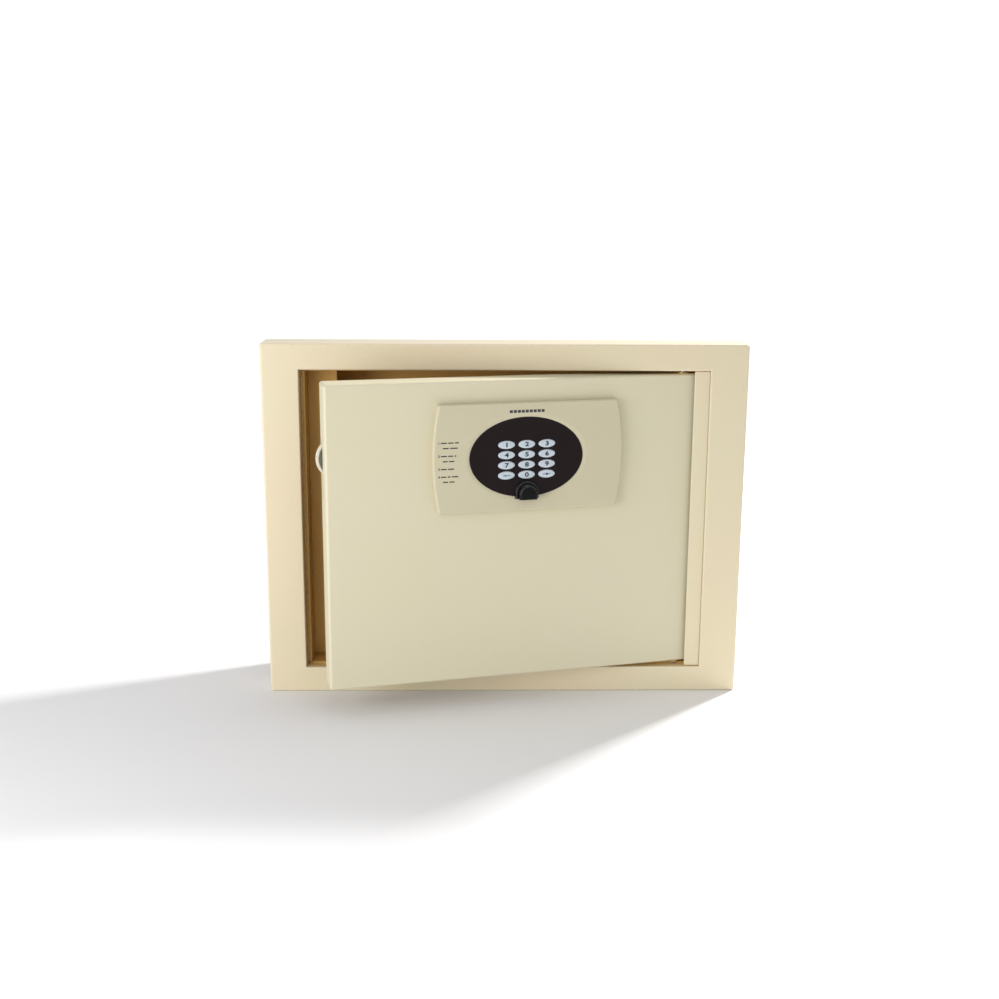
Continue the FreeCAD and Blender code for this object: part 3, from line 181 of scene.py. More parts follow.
# Drift: slow change from one shade to another over a hand's width, as sprayed or moulded colour has.
drift, add, given, result = effect(
    "shade_drift", {"Position": "Vector", "Size": "Float", "Shade": "Color", "Other Shade": "Color"},
    {"Color": "Color"})
cloud = add("TexNoise", Vector=given["Position"], Scale=given["Size"], Detail=3.0, Roughness=0.5)
amount = add("MapRange", Value=cloud.outputs["Fac"], From_Min=0.35, From_Max=0.65)
shade = add("Mix", {"data_type": "RGBA"}, _0=amount.outputs["Result"], _6=given["Shade"],
            _7=given["Other Shade"])
drift.links.new(shade.outputs[2], result["Color"])

# Edge wear and painted highlight: a broken mask along rounded folds and edges, where a coat is thin or
# rubbed, and where a lighter colour is painted on the bends as a highlight.
wear_and_painted_highlight, add, given, result = effect("edge_wear_and_painted_highlight", {"Position": "Vector", "Break Up": "Float"},
                                  {"Mask": "Float"})
bend = add("Attribute", {"attribute_name": "rounded"}).outputs["Fac"]
chips = add("TexNoise", Vector=given["Position"], Scale=given["Break Up"], Detail=4.0)
broken = add("MapRange", Value=chips.outputs["Fac"], From_Min=0.3, From_Max=0.6)
mask = add("Math", {"operation": "MULTIPLY"}, _0=bend, _1=broken.outputs["Result"])
wear_and_painted_highlight.links.new(mask.outputs[0], result["Mask"])


sheen_swing, wear_and_highlight_grain = 0.08, 260.0


def finish(name, shade, other, rough, grain_size, depth, edge=None, metal=0.0, coat=0.0,
           stretch=(1, 1, 1), drift_size=7.0, gleam=0.5):
    """A surface with drifting shade, grain in bump and roughness, and another colour on rounded edges,
    for rubbed coat and as a painted highlight.
    """
    material = bpy.data.materials.new(name)
    material.use_nodes = True
    tree = material.node_tree
    add = node_adder(tree)
    shader = tree.nodes["Principled BSDF"]
    place = add("TexCoord").outputs["Object"]
    along = add("Mapping", Vector=place, Scale=stretch).outputs["Vector"]
    clouds = add("Group", {"node_tree": drift}, Position=place, Size=drift_size,
                 Shade=(*shade, 1), Other_Shade=(*other, 1))
    pimples = add("Group", {"node_tree": grain}, Position=along, Size=grain_size)
    worn_and_highlit = add("Group", {"node_tree": wear_and_painted_highlight}, Position=place, Break_Up=wear_and_highlight_grain)
    # Rounded edges take the edge colour: rubbed coat, and a painted highlight on the bends.
    edged = add("Mix", {"data_type": "RGBA"}, _0=worn_and_highlit.outputs["Mask"], _6=clouds.outputs["Color"],
                _7=(*(edge or shade), 1))
    tree.links.new(edged.outputs[2], shader.inputs["Base Color"])
    sheen = add("MapRange", Value=pimples.outputs["Speck"], To_Min=rough + sheen_swing,
                To_Max=rough - sheen_swing)
    tree.links.new(sheen.outputs["Result"], shader.inputs["Roughness"])
    relief = add("Bump", Height=pimples.outputs["Height"], Strength=0.6, Distance=depth)
    tree.links.new(relief.outputs["Normal"], shader.inputs["Normal"])
    shader.inputs["Metallic"].default_value = metal
    shader.inputs["Coat Weight"].default_value = coat
    shader.inputs["Coat Roughness"].default_value = 0.3
    shader.inputs["Specular IOR Level"].default_value = gleam
    return material


def pan(shape, low, high, bend, steps):
    """Open-backed tray facing -Y, with its four front and four corner edges bent to a radius."""
    block = bmesh.ops.create_cube(shape, size=1.0)["verts"]
    bmesh.ops.scale(shape, verts=block, vec=high - low)
    bmesh.ops.translate(shape, verts=block, vec=(low + high) / 2)
    back = max(shape.faces, key=lambda f: f.calc_center_median().y)
    keep = set(back.edges)
    bmesh.ops.delete(shape, geom=[back], context="FACES_ONLY")
    folds = [e for e in shape.edges if e not in keep]
    bmesh.ops.bevel(shape, geom=folds, offset=bend, segments=steps, profile=0.5, affect="EDGES",
                    material=-1)
    return max((f for f in shape.faces if f.normal.y < -0.99), key=lambda f: f.calc_area())


def hoop(shape, half_x, half_z, y):
    """Rectangular loop of four edges that faces the front."""
    ends = [shape.verts.new((x * half_x, y, z * half_z))
            for x, z in ((-1, -1), (1, -1), (1, 1), (-1, 1))]
    return [shape.edges.new((ends[i - 1], ends[i])) for i in range(4)]


def piece(name, shape, body, nodes, materials, place=None, wall=0.0, sharp=35.0):
    """Turns a bmesh into a piece on a body, in place of its CAD nodes, with even shading."""
    if place:
        bmesh.ops.transform(shape, matrix=place, verts=shape.verts)
    rounded = shape.faces.layers.float.new("rounded")
    least_turn, most_turn, widest_strip = 0.04, 0.7, 1.5 * MM
    for face in shape.faces:
        turning = [e for e in face.edges
                   if len(e.link_faces) == 2 and least_turn < e.calc_face_angle() < most_turn]
        longest = max(e.calc_length() for e in face.edges)
        face[rounded] = float(len(turning) > 1 and face.calc_area() < widest_strip * longest)
    mesh = bpy.data.meshes.new(name)
    shape.to_mesh(mesh)
    shape.free()
    mesh.shade_smooth()
    mesh.set_sharp_from_angle(angle=math.radians(sharp))
    for material in materials:
        mesh.materials.append(material)
    made = bpy.data.objects.new(name, mesh)
    bpy.context.scene.collection.objects.link(made)
    if wall:
        sheet = made.modifiers.new("sheet", "SOLIDIFY")
        sheet.thickness, sheet.offset, sheet.use_even_offset = wall, -1.0, True
    shading = made.modifiers.new("even_shading", "WEIGHTED_NORMAL")
    shading.keep_sharp = True
    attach(made, body)
    if nodes:
        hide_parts(*nodes)
    return made


# The cream is painted browner inside the body and on three returns of the opening, as painted shade;
# the coat there is the same cream. The fourth return, behind the hinge strip, keeps the plain cream.
cream_paint = finish("cream_powder_coat", (0.765, 0.655, 0.452), (0.745, 0.672, 0.455), rough=0.40,
                     grain_size=470.0, depth=0.00014, edge=(0.79, 0.70, 0.51), coat=0.6)
return_painted_shade = finish("cream_returns_painted_shade", (0.80, 0.60, 0.30), (0.76, 0.55, 0.26), rough=0.45,
                   grain_size=520.0, depth=0.00006, edge=(0.72, 0.54, 0.28), gleam=0.25)
inside_painted_shade = finish("tan_inside_painted_shade", (0.60, 0.365, 0.110), (0.56, 0.335, 0.095), rough=0.5,
                     grain_size=520.0, depth=0.00006, edge=(0.64, 0.46, 0.21), gleam=0.2)
frame_low, frame_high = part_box("front_frame")
opening_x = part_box("hinge_side_strip")[1].x
opening_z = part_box("body_shell")[1].z
frame_sheet, frame_bend, opening_bend, inner_return = 1.5 * MM, 2.2 * MM, 1.6 * MM, 20.0 * MM
frame_shape = bmesh.new()
broad_face = pan(frame_shape, frame_low, frame_high, frame_bend, 5)
face_rim = list(broad_face.edges)
bmesh.ops.delete(frame_shape, geom=[broad_face], context="FACES_ONLY")
opening_rim = hoop(frame_shape, opening_x, opening_z, frame_low.y)
return_end = hoop(frame_shape, opening_x, opening_z, frame_low.y + inner_return)
bmesh.ops.bridge_loops(frame_shape, edges=face_rim + opening_rim)
bmesh.ops.bridge_loops(frame_shape, edges=opening_rim + return_end)
bmesh.ops.bevel(frame_shape, geom=opening_rim, offset=opening_bend, segments=4, profile=0.5,
                affect="EDGES", material=-1)
bmesh.ops.recalc_face_normals(frame_shape, faces=frame_shape.faces)
hair = 0.1 * MM
for face in frame_shape.faces:
    middle = face.calc_center_median()
    in_opening = -opening_x - hair < middle.x < opening_x - hair and abs(middle.z) < opening_z + hair
    face.material_index = int(in_opening and middle.y > frame_low.y + opening_bend)
piece("front_frame_folded", frame_shape, "safe_body", ["front_frame"],
      [cream_paint, return_painted_shade], wall=frame_sheet)


# ---- body, flange and jamb ---------------------------------------------------------------------
# Shallow sleeve of 1.8 mm sheet with a 3 mm back, the flange that closes the frame, the strip on
# the hinge side, the jamb and the strike pocket: cut and folded sheet, welded, then powder coated.
def softened(node, name, radius, materials):
    """A copy of a sheet-metal node with its cut edges eased, in place of the sharp one."""
    flat_within, cut_from = math.radians(0.5), math.radians(50)
    shape = bmesh.new()
    shape.from_mesh(frame["nodes"][node].data)
    bmesh.ops.remove_doubles(shape, verts=shape.verts, dist=0.001 * MM)
    bmesh.ops.dissolve_limit(shape, angle_limit=flat_within, use_dissolve_boundaries=False,
                             verts=shape.verts, edges=shape.edges)
    cut_edges = [e for e in shape.edges if len(e.link_faces) == 2
                 and e.calc_face_angle() > cut_from]
    bmesh.ops.bevel(shape, geom=cut_edges, offset=radius, segments=2, profile=0.5,
                    affect="EDGES", clamp_overlap=True, material=-1)
    for face in shape.faces:
        middle = face.calc_center_median()
        inward = face.normal.dot(Vector((middle.x, 0, middle.z))) < 0
        inside = inward or face.normal.y < -0.9
        face.material_index = int(len(materials) > 1 and inside)
    return piece(name, shape, frame["nodes"][node]["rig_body"], [node], materials)


# True picks the tan with painted shade for faces turned inward or to the front.
for node, radius, inside in (("body_shell", 0.5, True), ("back_panel", 0.5, True),
                             ("rear_flange", 0.4, False), ("hinge_side_strip", 0.8, False),
                             ("left_spacer", 0.4, True), ("strike_jamb", 0.6, True),
                             ("strike_box", 0.4, False)):
    softened(node, node + "_eased", radius * MM,
             [cream_paint, inside_painted_shade] if inside else [cream_paint])


# ---- door ---------------------------------------------------------------------------------------
# Hollow door pressed as a tray from 1.5 mm sheet with rounded folds, in the same cream coat laid
# smoother, its colour painted darker and greener than the frame's as painted shade.  It hangs ajar on
# two pins at its right end; a slot in its left fold lets the bolt out.
hinge = next(joint for joint in frame["joints"] if joint["name"] == "door_hinge")
pins = Vector(hinge["pos_m"])
ajar = (Matrix.Translation(pins) @ Matrix.Rotation(math.radians(-hinge["range_deg"][0]), 4, "Z")
        @ Matrix.Translation(-pins))


def shut_box(node):
    """Lowest and highest corners of a door node when the door is turned shut."""
    spots = [ajar.inverted() @ v.co for v in frame["nodes"][node].data.vertices]
    return Vector(map(min, zip(*spots))), Vector(map(max, zip(*spots)))


# Door cream painted a little darker and greener than the frame's, as painted shade.
door_paint_painted_shade = finish("cream_door_coat_painted_shade", (0.695, 0.640, 0.460), (0.685, 0.640, 0.445), rough=0.5,
                    grain_size=620.0, depth=0.00003, edge=(0.715, 0.66, 0.48), coat=0.1)
door_low, door_high = shut_box("door_skin")
bolt_low, bolt_high = shut_box("swing_bolt")
shaft_low, shaft_high = shut_box("bolt_shaft")
shaft_x, shaft_z = (shaft_low.x + shaft_high.x) / 2, (shaft_low.z + shaft_high.z) / 2
bolt_radius = 19.0 * MM
door_sheet, door_bend = 1.5 * MM, 2.5 * MM
slot_play, slot_under, slot_over = 0.8 * MM, 1.3 * MM, 1.0 * MM
slot_sides = {"y": (bolt_low.y - slot_play, bolt_high.y + slot_play),
              "z": (shaft_z - bolt_radius - slot_under, bolt_high.z - slot_over)}
door_shape = bmesh.new()
pan(door_shape, door_low, door_high, door_bend, 5)
for axis, cuts in slot_sides.items():
    for cut in cuts:
        free_side = [f for f in door_shape.faces if f.normal.x < -0.99]
        around = {g for f in free_side for g in (*f.verts, *f.edges)} | set(free_side)
        across = Vector((0, 1, 0)) if axis == "y" else Vector((0, 0, 1))
        bmesh.ops.bisect_plane(door_shape, geom=list(around), dist=0.01 * MM, plane_co=across * cut,
                               plane_no=across)
slot_faces = [f for f in door_shape.faces if f.normal.x < -0.99
              and slot_sides["y"][0] < f.calc_center_median().y < slot_sides["y"][1]
              and slot_sides["z"][0] < f.calc_center_median().z < slot_sides["z"][1]]
bmesh.ops.delete(door_shape, geom=slot_faces, context="FACES")
bmesh.ops.recalc_face_normals(door_shape, faces=door_shape.faces)
piece("door_pressing", door_shape, "door", ["door_skin"], [door_paint_painted_shade], ajar,
      wall=door_sheet)
softened("door_back_cover", "door_back_sheet", 0.4 * MM, [cream_paint])


# ---- keypad cover -------------------------------------------------------------------------------
# Cream ABS moulding with straight long sides and bowed ends, a fine spark-eroded texture, softly
# rounded edges and a shallow dish round the oval face plate.  Step marks are printed on its left
# and a row of dashes above the plate.
def oval_ring(shape, centre, half_x, half_z, y, sides=96):
    """Elliptical loop of edges that faces the front."""
    turn = (Matrix.Translation((centre[0], y, centre[1])) @ Matrix.Rotation(math.pi / 2, 4, "X")
            @ Matrix.Diagonal((half_x, half_z, 1, 1)))
    ring = bmesh.ops.create_circle(shape, cap_ends=False, segments=sides, radius=1.0, matrix=turn)
    return list({e for v in ring["verts"] for e in v.link_edges})


def joined_rings(shape, rings):
    """Skins over each pair of neighbouring loops."""
    for outer, inner in zip(rings, rings[1:]):
        bmesh.ops.bridge_loops(shape, edges=outer + inner)


cover_plastic = finish("cream_abs_moulding", (0.600, 0.556, 0.385), (0.592, 0.543, 0.372), rough=0.42,
                       grain_size=1500.0, depth=0.00002, edge=(0.63, 0.58, 0.41), drift_size=12.0)
print_ink = finish("black_print", (0.030, 0.030, 0.034), (0.045, 0.045, 0.05), rough=0.5,
                   grain_size=3000.0, depth=0.00001)
cover_low, cover_high = shut_box("keypad_panel")
plate_low, plate_high = shut_box("keypad_bezel")
plate_middle = ((plate_low.x + plate_high.x) / 2, (plate_low.z + plate_high.z) / 2)
plate_x, plate_z = (plate_high.x - plate_low.x) / 2, (plate_high.z - plate_low.z) / 2
bow, cover_round = 5.5 * MM, 2.0 * MM
half_height = (cover_high.z - cover_low.z) / 2
bow_radius = (half_height ** 2 + bow ** 2) / (2 * bow)
bow_angle = 2 * math.asin(half_height / bow_radius)
cover_middle_z = (cover_low.z + cover_high.z) / 2
cover_shape = bmesh.new()
corners = []
for side, end_x in ((1, cover_low.x), (-1, cover_high.x)):
    top = cover_shape.verts.new((end_x + side * bow, cover_high.y, cover_high.z))
    swept = bmesh.ops.spin(cover_shape, geom=[top], axis=(0, 1, 0), angle=-side * bow_angle, steps=24,
                           cent=(end_x + side * bow_radius, 0, cover_middle_z))
    corners.append((top, swept["geom_last"][0]))
for left_end, right_end in zip(*corners):
    cover_shape.edges.new((left_end, right_end))
outline = bmesh.ops.contextual_create(cover_shape, geom=list(cover_shape.edges))["faces"]
risen = bmesh.ops.extrude_face_region(cover_shape, geom=outline)["geom"]
bmesh.ops.translate(cover_shape, verts=[g for g in risen if isinstance(g, bmesh.types.BMVert)],
                    vec=(0, cover_low.y - cover_high.y, 0))
bmesh.ops.recalc_face_normals(cover_shape, faces=cover_shape.faces)
back_faces = [f for f in cover_shape.faces if f.normal.y > 0.99]
bmesh.ops.delete(cover_shape, geom=back_faces, context="FACES_ONLY")
eased = [e for e in cover_shape.edges
         if not e.is_boundary and e.calc_face_angle() > math.radians(20)]
bmesh.ops.bevel(cover_shape, geom=eased, offset=cover_round, segments=6, profile=0.5,
                affect="EDGES", material=-1)
cover_face = max((f for f in cover_shape.faces if f.normal.y < -0.99), key=lambda f: f.calc_area())
cover_rim = list(cover_face.edges)
bmesh.ops.delete(cover_shape, geom=[cover_face], context="FACES_ONLY")
# Rings of the dish: how far outside the face plate's edge and how deep, in millimetres.
dish = [(3.7, 0.0), (3.2, 0.05), (2.4, 0.22), (1.2, 0.52), (0.6, 0.70), (0.15, 0.80), (0.15, 2.3),
        (-3.0, 2.3)]
dish_rings = [oval_ring(cover_shape, plate_middle, plate_x + out * MM, plate_z + out * MM,
                        cover_low.y + deep * MM) for out, deep in dish]
bmesh.ops.triangle_fill(cover_shape, edges=cover_rim + dish_rings[0], use_beauty=True,
                        normal=(0, -1, 0))
joined_rings(cover_shape, dish_rings)
bmesh.ops.recalc_face_normals(cover_shape, faces=cover_shape.faces)
piece("keypad_cover", cover_shape, "door", ["keypad_panel"], [cover_plastic], ajar)


def lettered(shape, words, height, x, z, y, bold, wide=1.0):
    """Adds flat printed figures, centred at x and z, standing a hair proud of y."""
    text = bpy.data.curves.new("figure", "FONT")
    text.body, text.size = words, height
    text.align_x, text.align_y = "CENTER", "CENTER"
    text.extrude, text.offset = 0.01 * MM, bold
    text.resolution_u = 4
    holder = bpy.data.objects.new("figure", text)
    bpy.context.scene.collection.objects.link(holder)
    bpy.context.view_layer.update()
    flat = bpy.data.meshes.new_from_object(holder)
    flat.transform(Matrix.Translation((x, y, z)) @ Matrix.Rotation(math.pi / 2, 4, "X")
                   @ Matrix.Diagonal((wide, 1, 1, 1)))
    shape.from_mesh(flat)
    bpy.data.objects.remove(holder)
    bpy.data.curves.remove(text)
    bpy.data.meshes.remove(flat)


def dash(shape, left, right, z, tall, y):
    """One printed bar between two places across."""
    bar = bmesh.ops.create_cube(shape, size=1.0)["verts"]
    bmesh.ops.scale(shape, verts=bar, vec=(right - left, 0.02 * MM, tall))
    bmesh.ops.translate(shape, verts=bar, vec=((left + right) / 2, y, z))


marks = bmesh.new()
print_y = cover_low.y - 0.01 * MM
mark_left = cover_low.x + 5.0 * MM
numeral_high, mark_high, mark_gap = 3.0 * MM, 1.1 * MM, 1.2 * MM
# Numeral, height of the row above the middle of the safe and lengths of its bars, in millimetres.
steps = [("1", 86.4, (5.6, 4.9, 3.6)), ("", 81.6, (5.4, 7.0)), ("2", 74.5, (5.6, 4.6, 1.6)),
         ("", 69.7, (4.4, 4.8)), ("3", 62.7, (5.4, 5.6)), ("4", 55.7, (5.0, 2.6, 6.0)),
         ("", 51.0, (4.6, 4.8))]
for numeral, row, lengths in steps:
    if numeral:
        lettered(marks, numeral, numeral_high, mark_left + 0.6 * MM, row * MM, print_y, 0.12 * MM)
    start = mark_left + (2.3 if numeral else 4.2) * MM
    for length in lengths:
        dash(marks, start, start + length * MM, row * MM, mark_high, print_y)
        start += length * MM + mark_gap
dash_pitch, dash_wide, dash_high, dash_drop = 3.7 * MM, 2.9 * MM, 2.6 * MM, 8.0 * MM
for place in range(-4, 5):
    left = plate_middle[0] + place * dash_pitch - dash_wide / 2
    dash(marks, left, left + dash_wide, cover_high.z - dash_drop, dash_high, print_y)
piece("cover_print", marks, "door", [], [print_ink], ajar)


# ---- oval face plate ----------------------------------------------------------------------------
# Black plate moulded in matt polycarbonate, a little crowned at its rim, held in the cover's dish,
# and pierced by twelve oval holes for the keys.
black_face = finish("black_face_plate", (0.0125, 0.0075, 0.0080), (0.0145, 0.0088, 0.0095), rough=0.42,
                    grain_size=2100.0, depth=0.00002, edge=(0.03, 0.024, 0.026), drift_size=25.0,
                    gleam=0.12)
key_names = [f"key_{n}" for n in (1, 2, 3, 4, 5, 6, 7, 8, 9, "clear", 0, "enter")]
key_boxes = {name: shut_box(name) for name in key_names}
key_middles = {name: ((low.x + high.x) / 2, (low.z + high.z) / 2)
               for name, (low, high) in key_boxes.items()}
key_x, key_z, key_play = 7.80 * MM, 3.72 * MM, 0.40 * MM
plate_shape = bmesh.new()
# Rings of the plate's rim: how far inside its edge and how deep.
rim = [(0.0, plate_high.y - plate_low.y), (0.0, 0.55 * MM), (0.1 * MM, 0.25 * MM),
       (0.32 * MM, 0.07 * MM), (0.65 * MM, 0.0)]
rim_rings = [oval_ring(plate_shape, plate_middle, plate_x - inward, plate_z - inward,
                       plate_low.y + deep) for inward, deep in rim]
joined_rings(plate_shape, rim_rings)
# Rings of each key hole: how far outside the hole's wall and how deep, in millimetres.
mouth_steps = ((0.15, 0), (0, 0.15), (0, 2.0))
mouths = []
for name, middle in key_middles.items():
    rings = [oval_ring(plate_shape, middle, key_x + key_play + out * MM, key_z + key_play + out * MM,
                       plate_low.y + deep * MM, 48) for out, deep in mouth_steps]
    joined_rings(plate_shape, rings)
    mouths += rings[0]
bmesh.ops.triangle_fill(plate_shape, edges=rim_rings[-1] + mouths, use_beauty=True, normal=(0, -1, 0))
bmesh.ops.recalc_face_normals(plate_shape, faces=plate_shape.faces)
piece("oval_face_plate", plate_shape, "door", ["keypad_bezel"], [black_face], ajar)


# ---- keys ---------------------------------------------------------------------------------------
# Twelve pale blue-grey keys moulded in satin plastic, oval with a flattened dome, each with its
# figure printed in dark blue; the two outer keys of the last row carry plain symbols.
key_plastic = finish("pale_key_plastic", (0.530, 0.610, 0.670), (0.505, 0.585, 0.650), rough=0.38,
                     grain_size=2500.0, depth=0.00002, edge=(0.58, 0.65, 0.70), drift_size=30.0)
key_ink = finish("blue_grey_print", (0.012, 0.022, 0.036), (0.018, 0.028, 0.044), rough=0.5,
                 grain_size=3000.0, depth=0.00001)
dome_depth, dome_power, key_skirt = 1.25 * MM, 3.2, 3.2 * MM
figure_high, figure_bold, figure_wide = 5.6 * MM, 0.2 * MM, 1.3
figure_cuts, cut_pitch, ink_lift = 16, 0.3 * MM, 0.02 * MM
# Bars of each symbol: left, right, height above the key's middle and thickness, in millimetres.
key_symbols = {"key_clear": ((-3.4, 3.4, 0, 0.5), (-1.7, -0.9, 0.55, 0.5), (-1.7, -0.9, -0.55, 0.5)),
               "key_enter": ((-3.6, -1.6, 0, 0.5), (1.6, 3.6, 0, 0.5), (-1.1, 1.1, 0, 1.7))}


def dome_drop(share):
    """How far the key's dome has fallen at a share of the way to its rim."""
    return dome_depth * (1 - max(0.0, 1 - min(share, 1.0) ** dome_power) ** (1 / dome_power))


# Rings of a key from the foot of its skirt to its crown: share of the full oval, then the drop.
shares = (1.0, 1.0, 0.995, 0.98, 0.95, 0.9, 0.82, 0.7, 0.55, 0.35, 0.12)
drops = [key_skirt] + [dome_drop(share) for share in shares[1:]]
for name, middle in key_middles.items():
    front = key_boxes[name][0].y
    key_shape = bmesh.new()
    rings = [oval_ring(key_shape, middle, key_x * share, key_z * share, front + drop, 64)
             for share, drop in zip(shares, drops)]
    joined_rings(key_shape, rings)
    bmesh.ops.contextual_create(key_shape, geom=rings[-1])
    bmesh.ops.contextual_create(key_shape, geom=rings[0])
    bmesh.ops.recalc_face_normals(key_shape, faces=key_shape.faces)
    dome_faces = len(key_shape.faces)
    if name in key_symbols:
        for left, right, z, tall in key_symbols[name]:
            dash(key_shape, middle[0] + left * MM, middle[0] + right * MM, middle[1] + z * MM,
                 tall * MM, front)
    else:
        lettered(key_shape, name[-1], figure_high, *middle, front, figure_bold, figure_wide)
    key_shape.faces.ensure_lookup_table()
    for face in key_shape.faces[dome_faces:]:
        face.material_index = 1
    for cut in range(-figure_cuts, figure_cuts + 1):
        for across, centre in ((Vector((1, 0, 0)), middle[0]), (Vector((0, 0, 1)), middle[1])):
            inked = {g for f in key_shape.faces if f.material_index for g in (f, *f.verts, *f.edges)}
            bmesh.ops.bisect_plane(key_shape, geom=list(inked), dist=0.001 * MM, plane_no=across,
                                   plane_co=across * (centre + cut * cut_pitch))
    figure = {v for f in key_shape.faces if f.material_index for v in f.verts}
    for vert in figure:
        share = math.hypot((vert.co.x - middle[0]) / key_x, (vert.co.z - middle[1]) / key_z)
        vert.co.y += dome_drop(share) - ink_lift
    piece(name + "_cap", key_shape, name, [name], [key_plastic, key_ink], ajar)


# ---- finger pull --------------------------------------------------------------------------------
# Black ABS hood seated on the foot of the face plate: a flat arched base and a stepped arch on it
# with rounded edges, hollow and open underneath for a fingertip.
def arch(shape, middle_x, half, waist, low, y):
    """Face with a flat foot and a half-round top."""
    first = shape.verts.new((middle_x - half, y, waist))
    swept = bmesh.ops.spin(shape, geom=[first], axis=(0, 1, 0), angle=math.pi, steps=28,
                           cent=(middle_x, 0, waist))
    last = swept["geom_last"][0]
    feet = [shape.verts.new((middle_x + side * half, y, low)) for side in (-1, 1)]
    for ends in (feet, (first, feet[0]), (last, feet[1])):
        shape.edges.new(ends)
    return bmesh.ops.contextual_create(shape, geom=list(shape.edges))["faces"][0]


def raised(shape, face, depth, round_off, open_foot):
    """Pulls a face forward and rounds its front rim; an open foot loses its end wall."""
    grown = bmesh.ops.extrude_face_region(shape, geom=[face])["geom"]
    bmesh.ops.translate(shape, verts=[g for g in grown if isinstance(g, bmesh.types.BMVert)],
                        vec=(0, -depth, 0))
    front = next(g for g in grown if isinstance(g, bmesh.types.BMFace))
    bmesh.ops.recalc_face_normals(shape, faces=shape.faces)
    if open_foot:
        ends = [f for f in shape.faces if f.normal.z < -0.99]
        backs = [f for f in shape.faces if f.normal.y > 0.99]
        bmesh.ops.delete(shape, geom=ends + backs, context="FACES_ONLY")
    rounded = [e for e in front.edges if not e.is_boundary]
    bmesh.ops.bevel(shape, geom=rounded, offset=round_off, segments=5, profile=0.5,
                    affect="EDGES", material=-1)


# The pull's lighter edge colour is a painted highlight along its rounded arches.
pull_plastic = finish("black_pull_plastic", (0.0035, 0.0035, 0.0038), (0.0050, 0.0050, 0.0053),
                      rough=0.27, grain_size=2600.0, depth=0.00001, edge=(0.05, 0.05, 0.053),
                      drift_size=40.0, gleam=0.14)
pull_low, pull_high = shut_box("finger_pull")
pull_x = (pull_low.x + pull_high.x) / 2
pull_half = (pull_high.x - pull_low.x) / 2
pull_base, pull_step, pull_wall = 4.0 * MM, 2.4 * MM, 1.6 * MM
base_round, hood_round, hood_sunk = 1.0 * MM, 1.6 * MM, 0.5 * MM
pull_waist = pull_high.z - pull_half
base_shape = bmesh.new()
base_face = arch(base_shape, pull_x, pull_half, pull_waist, pull_low.z, pull_high.y)
raised(base_shape, base_face, pull_base, base_round, open_foot=False)
bmesh.ops.recalc_face_normals(base_shape, faces=base_shape.faces)
piece("finger_pull_base", base_shape, "door", ["finger_pull"], [pull_plastic], ajar)
hood_shape = bmesh.new()
hood_back = pull_high.y - pull_base + hood_sunk
hood_face = arch(hood_shape, pull_x, pull_half - pull_step, pull_waist, pull_low.z, hood_back)
raised(hood_shape, hood_face, hood_back - pull_low.y, hood_round, open_foot=True)
bmesh.ops.recalc_face_normals(hood_shape, faces=hood_shape.faces)
piece("finger_pull_hood", hood_shape, "door", ["finger_pull"], [pull_plastic], ajar,
      wall=pull_wall)


# ---- swing bolt ---------------------------------------------------------------------------------
# Round-headed bolt cut from 5 mm steel plate, zinc plated, with a turned rim and a recessed face; the
# rim is painted pale as a painted highlight and the face dark as a painted reflection.  It swings on a
# shaft below its centre, through the slot in the door's free edge.
# Pale rim as painted highlight, dark face as painted reflection; both are one zinc plating.
bolt_face_painted_dark = finish("bolt_zinc_painted_dark_reflection", (0.17, 0.18, 0.14), (0.12, 0.13, 0.10), rough=0.48, metal=0.3,
                   grain_size=700.0, depth=0.00006, stretch=(1, 1, 5), edge=(0.6, 0.6, 0.55))
bolt_rim_painted_highlight = finish("bolt_rim_painted_highlight_zinc", (0.74, 0.69, 0.58), (0.68, 0.63, 0.52), rough=0.34, metal=0.15,
                  grain_size=900.0, depth=0.00002, edge=(0.80, 0.76, 0.66))
bolt_middle = (bolt_low.x + bolt_radius, bolt_high.z - bolt_radius)
bolt_shape = bmesh.new()
thick = bolt_high.y - bolt_low.y
# Section of the rim: how far inside the head's edge and how far from its front face.
section = [(2.6 * MM, 0.6 * MM), (2.3 * MM, 0.35 * MM), (1.9 * MM, 0.05 * MM), (0.9 * MM, 0.0),
           (0.35 * MM, 0.2 * MM), (0.0, 0.9 * MM), (0.0, thick - 0.9 * MM),
           (0.35 * MM, thick - 0.2 * MM), (0.9 * MM, thick), (1.9 * MM, thick - 0.05 * MM),
           (2.6 * MM, thick - 0.6 * MM)]
bolt_rings = [oval_ring(bolt_shape, bolt_middle, bolt_radius - inward, bolt_radius - inward,
                        bolt_low.y + deep, 128) for inward, deep in section]
joined_rings(bolt_shape, bolt_rings)
for face in bolt_shape.faces:
    face.material_index = 1
for ring in (bolt_rings[0], bolt_rings[-1]):
    bmesh.ops.contextual_create(bolt_shape, geom=ring)["faces"][0].material_index = 0
hub_radius, hub_ease = 9.0 * MM, 0.6 * MM
hub = bmesh.ops.create_cone(bolt_shape, cap_ends=True, segments=96, radius1=hub_radius,
                            radius2=hub_radius, depth=thick - hub_ease)["verts"]
bmesh.ops.transform(bolt_shape, verts=hub, matrix=Matrix.Translation(
    (shaft_x, (bolt_low.y + bolt_high.y) / 2, shaft_z)) @ Matrix.Rotation(math.pi / 2, 4, "X"))
hub_edges = {e for v in hub for e in v.link_edges if e.calc_face_angle(0) > 1.0}
bmesh.ops.bevel(bolt_shape, geom=list(hub_edges), offset=hub_ease, segments=3, profile=0.5,
                affect="EDGES", material=-1)
bmesh.ops.recalc_face_normals(bolt_shape, faces=bolt_shape.faces)
piece("swing_bolt_head", bolt_shape, "bolt", ["swing_bolt"], [bolt_face_painted_dark, bolt_rim_painted_highlight], ajar)


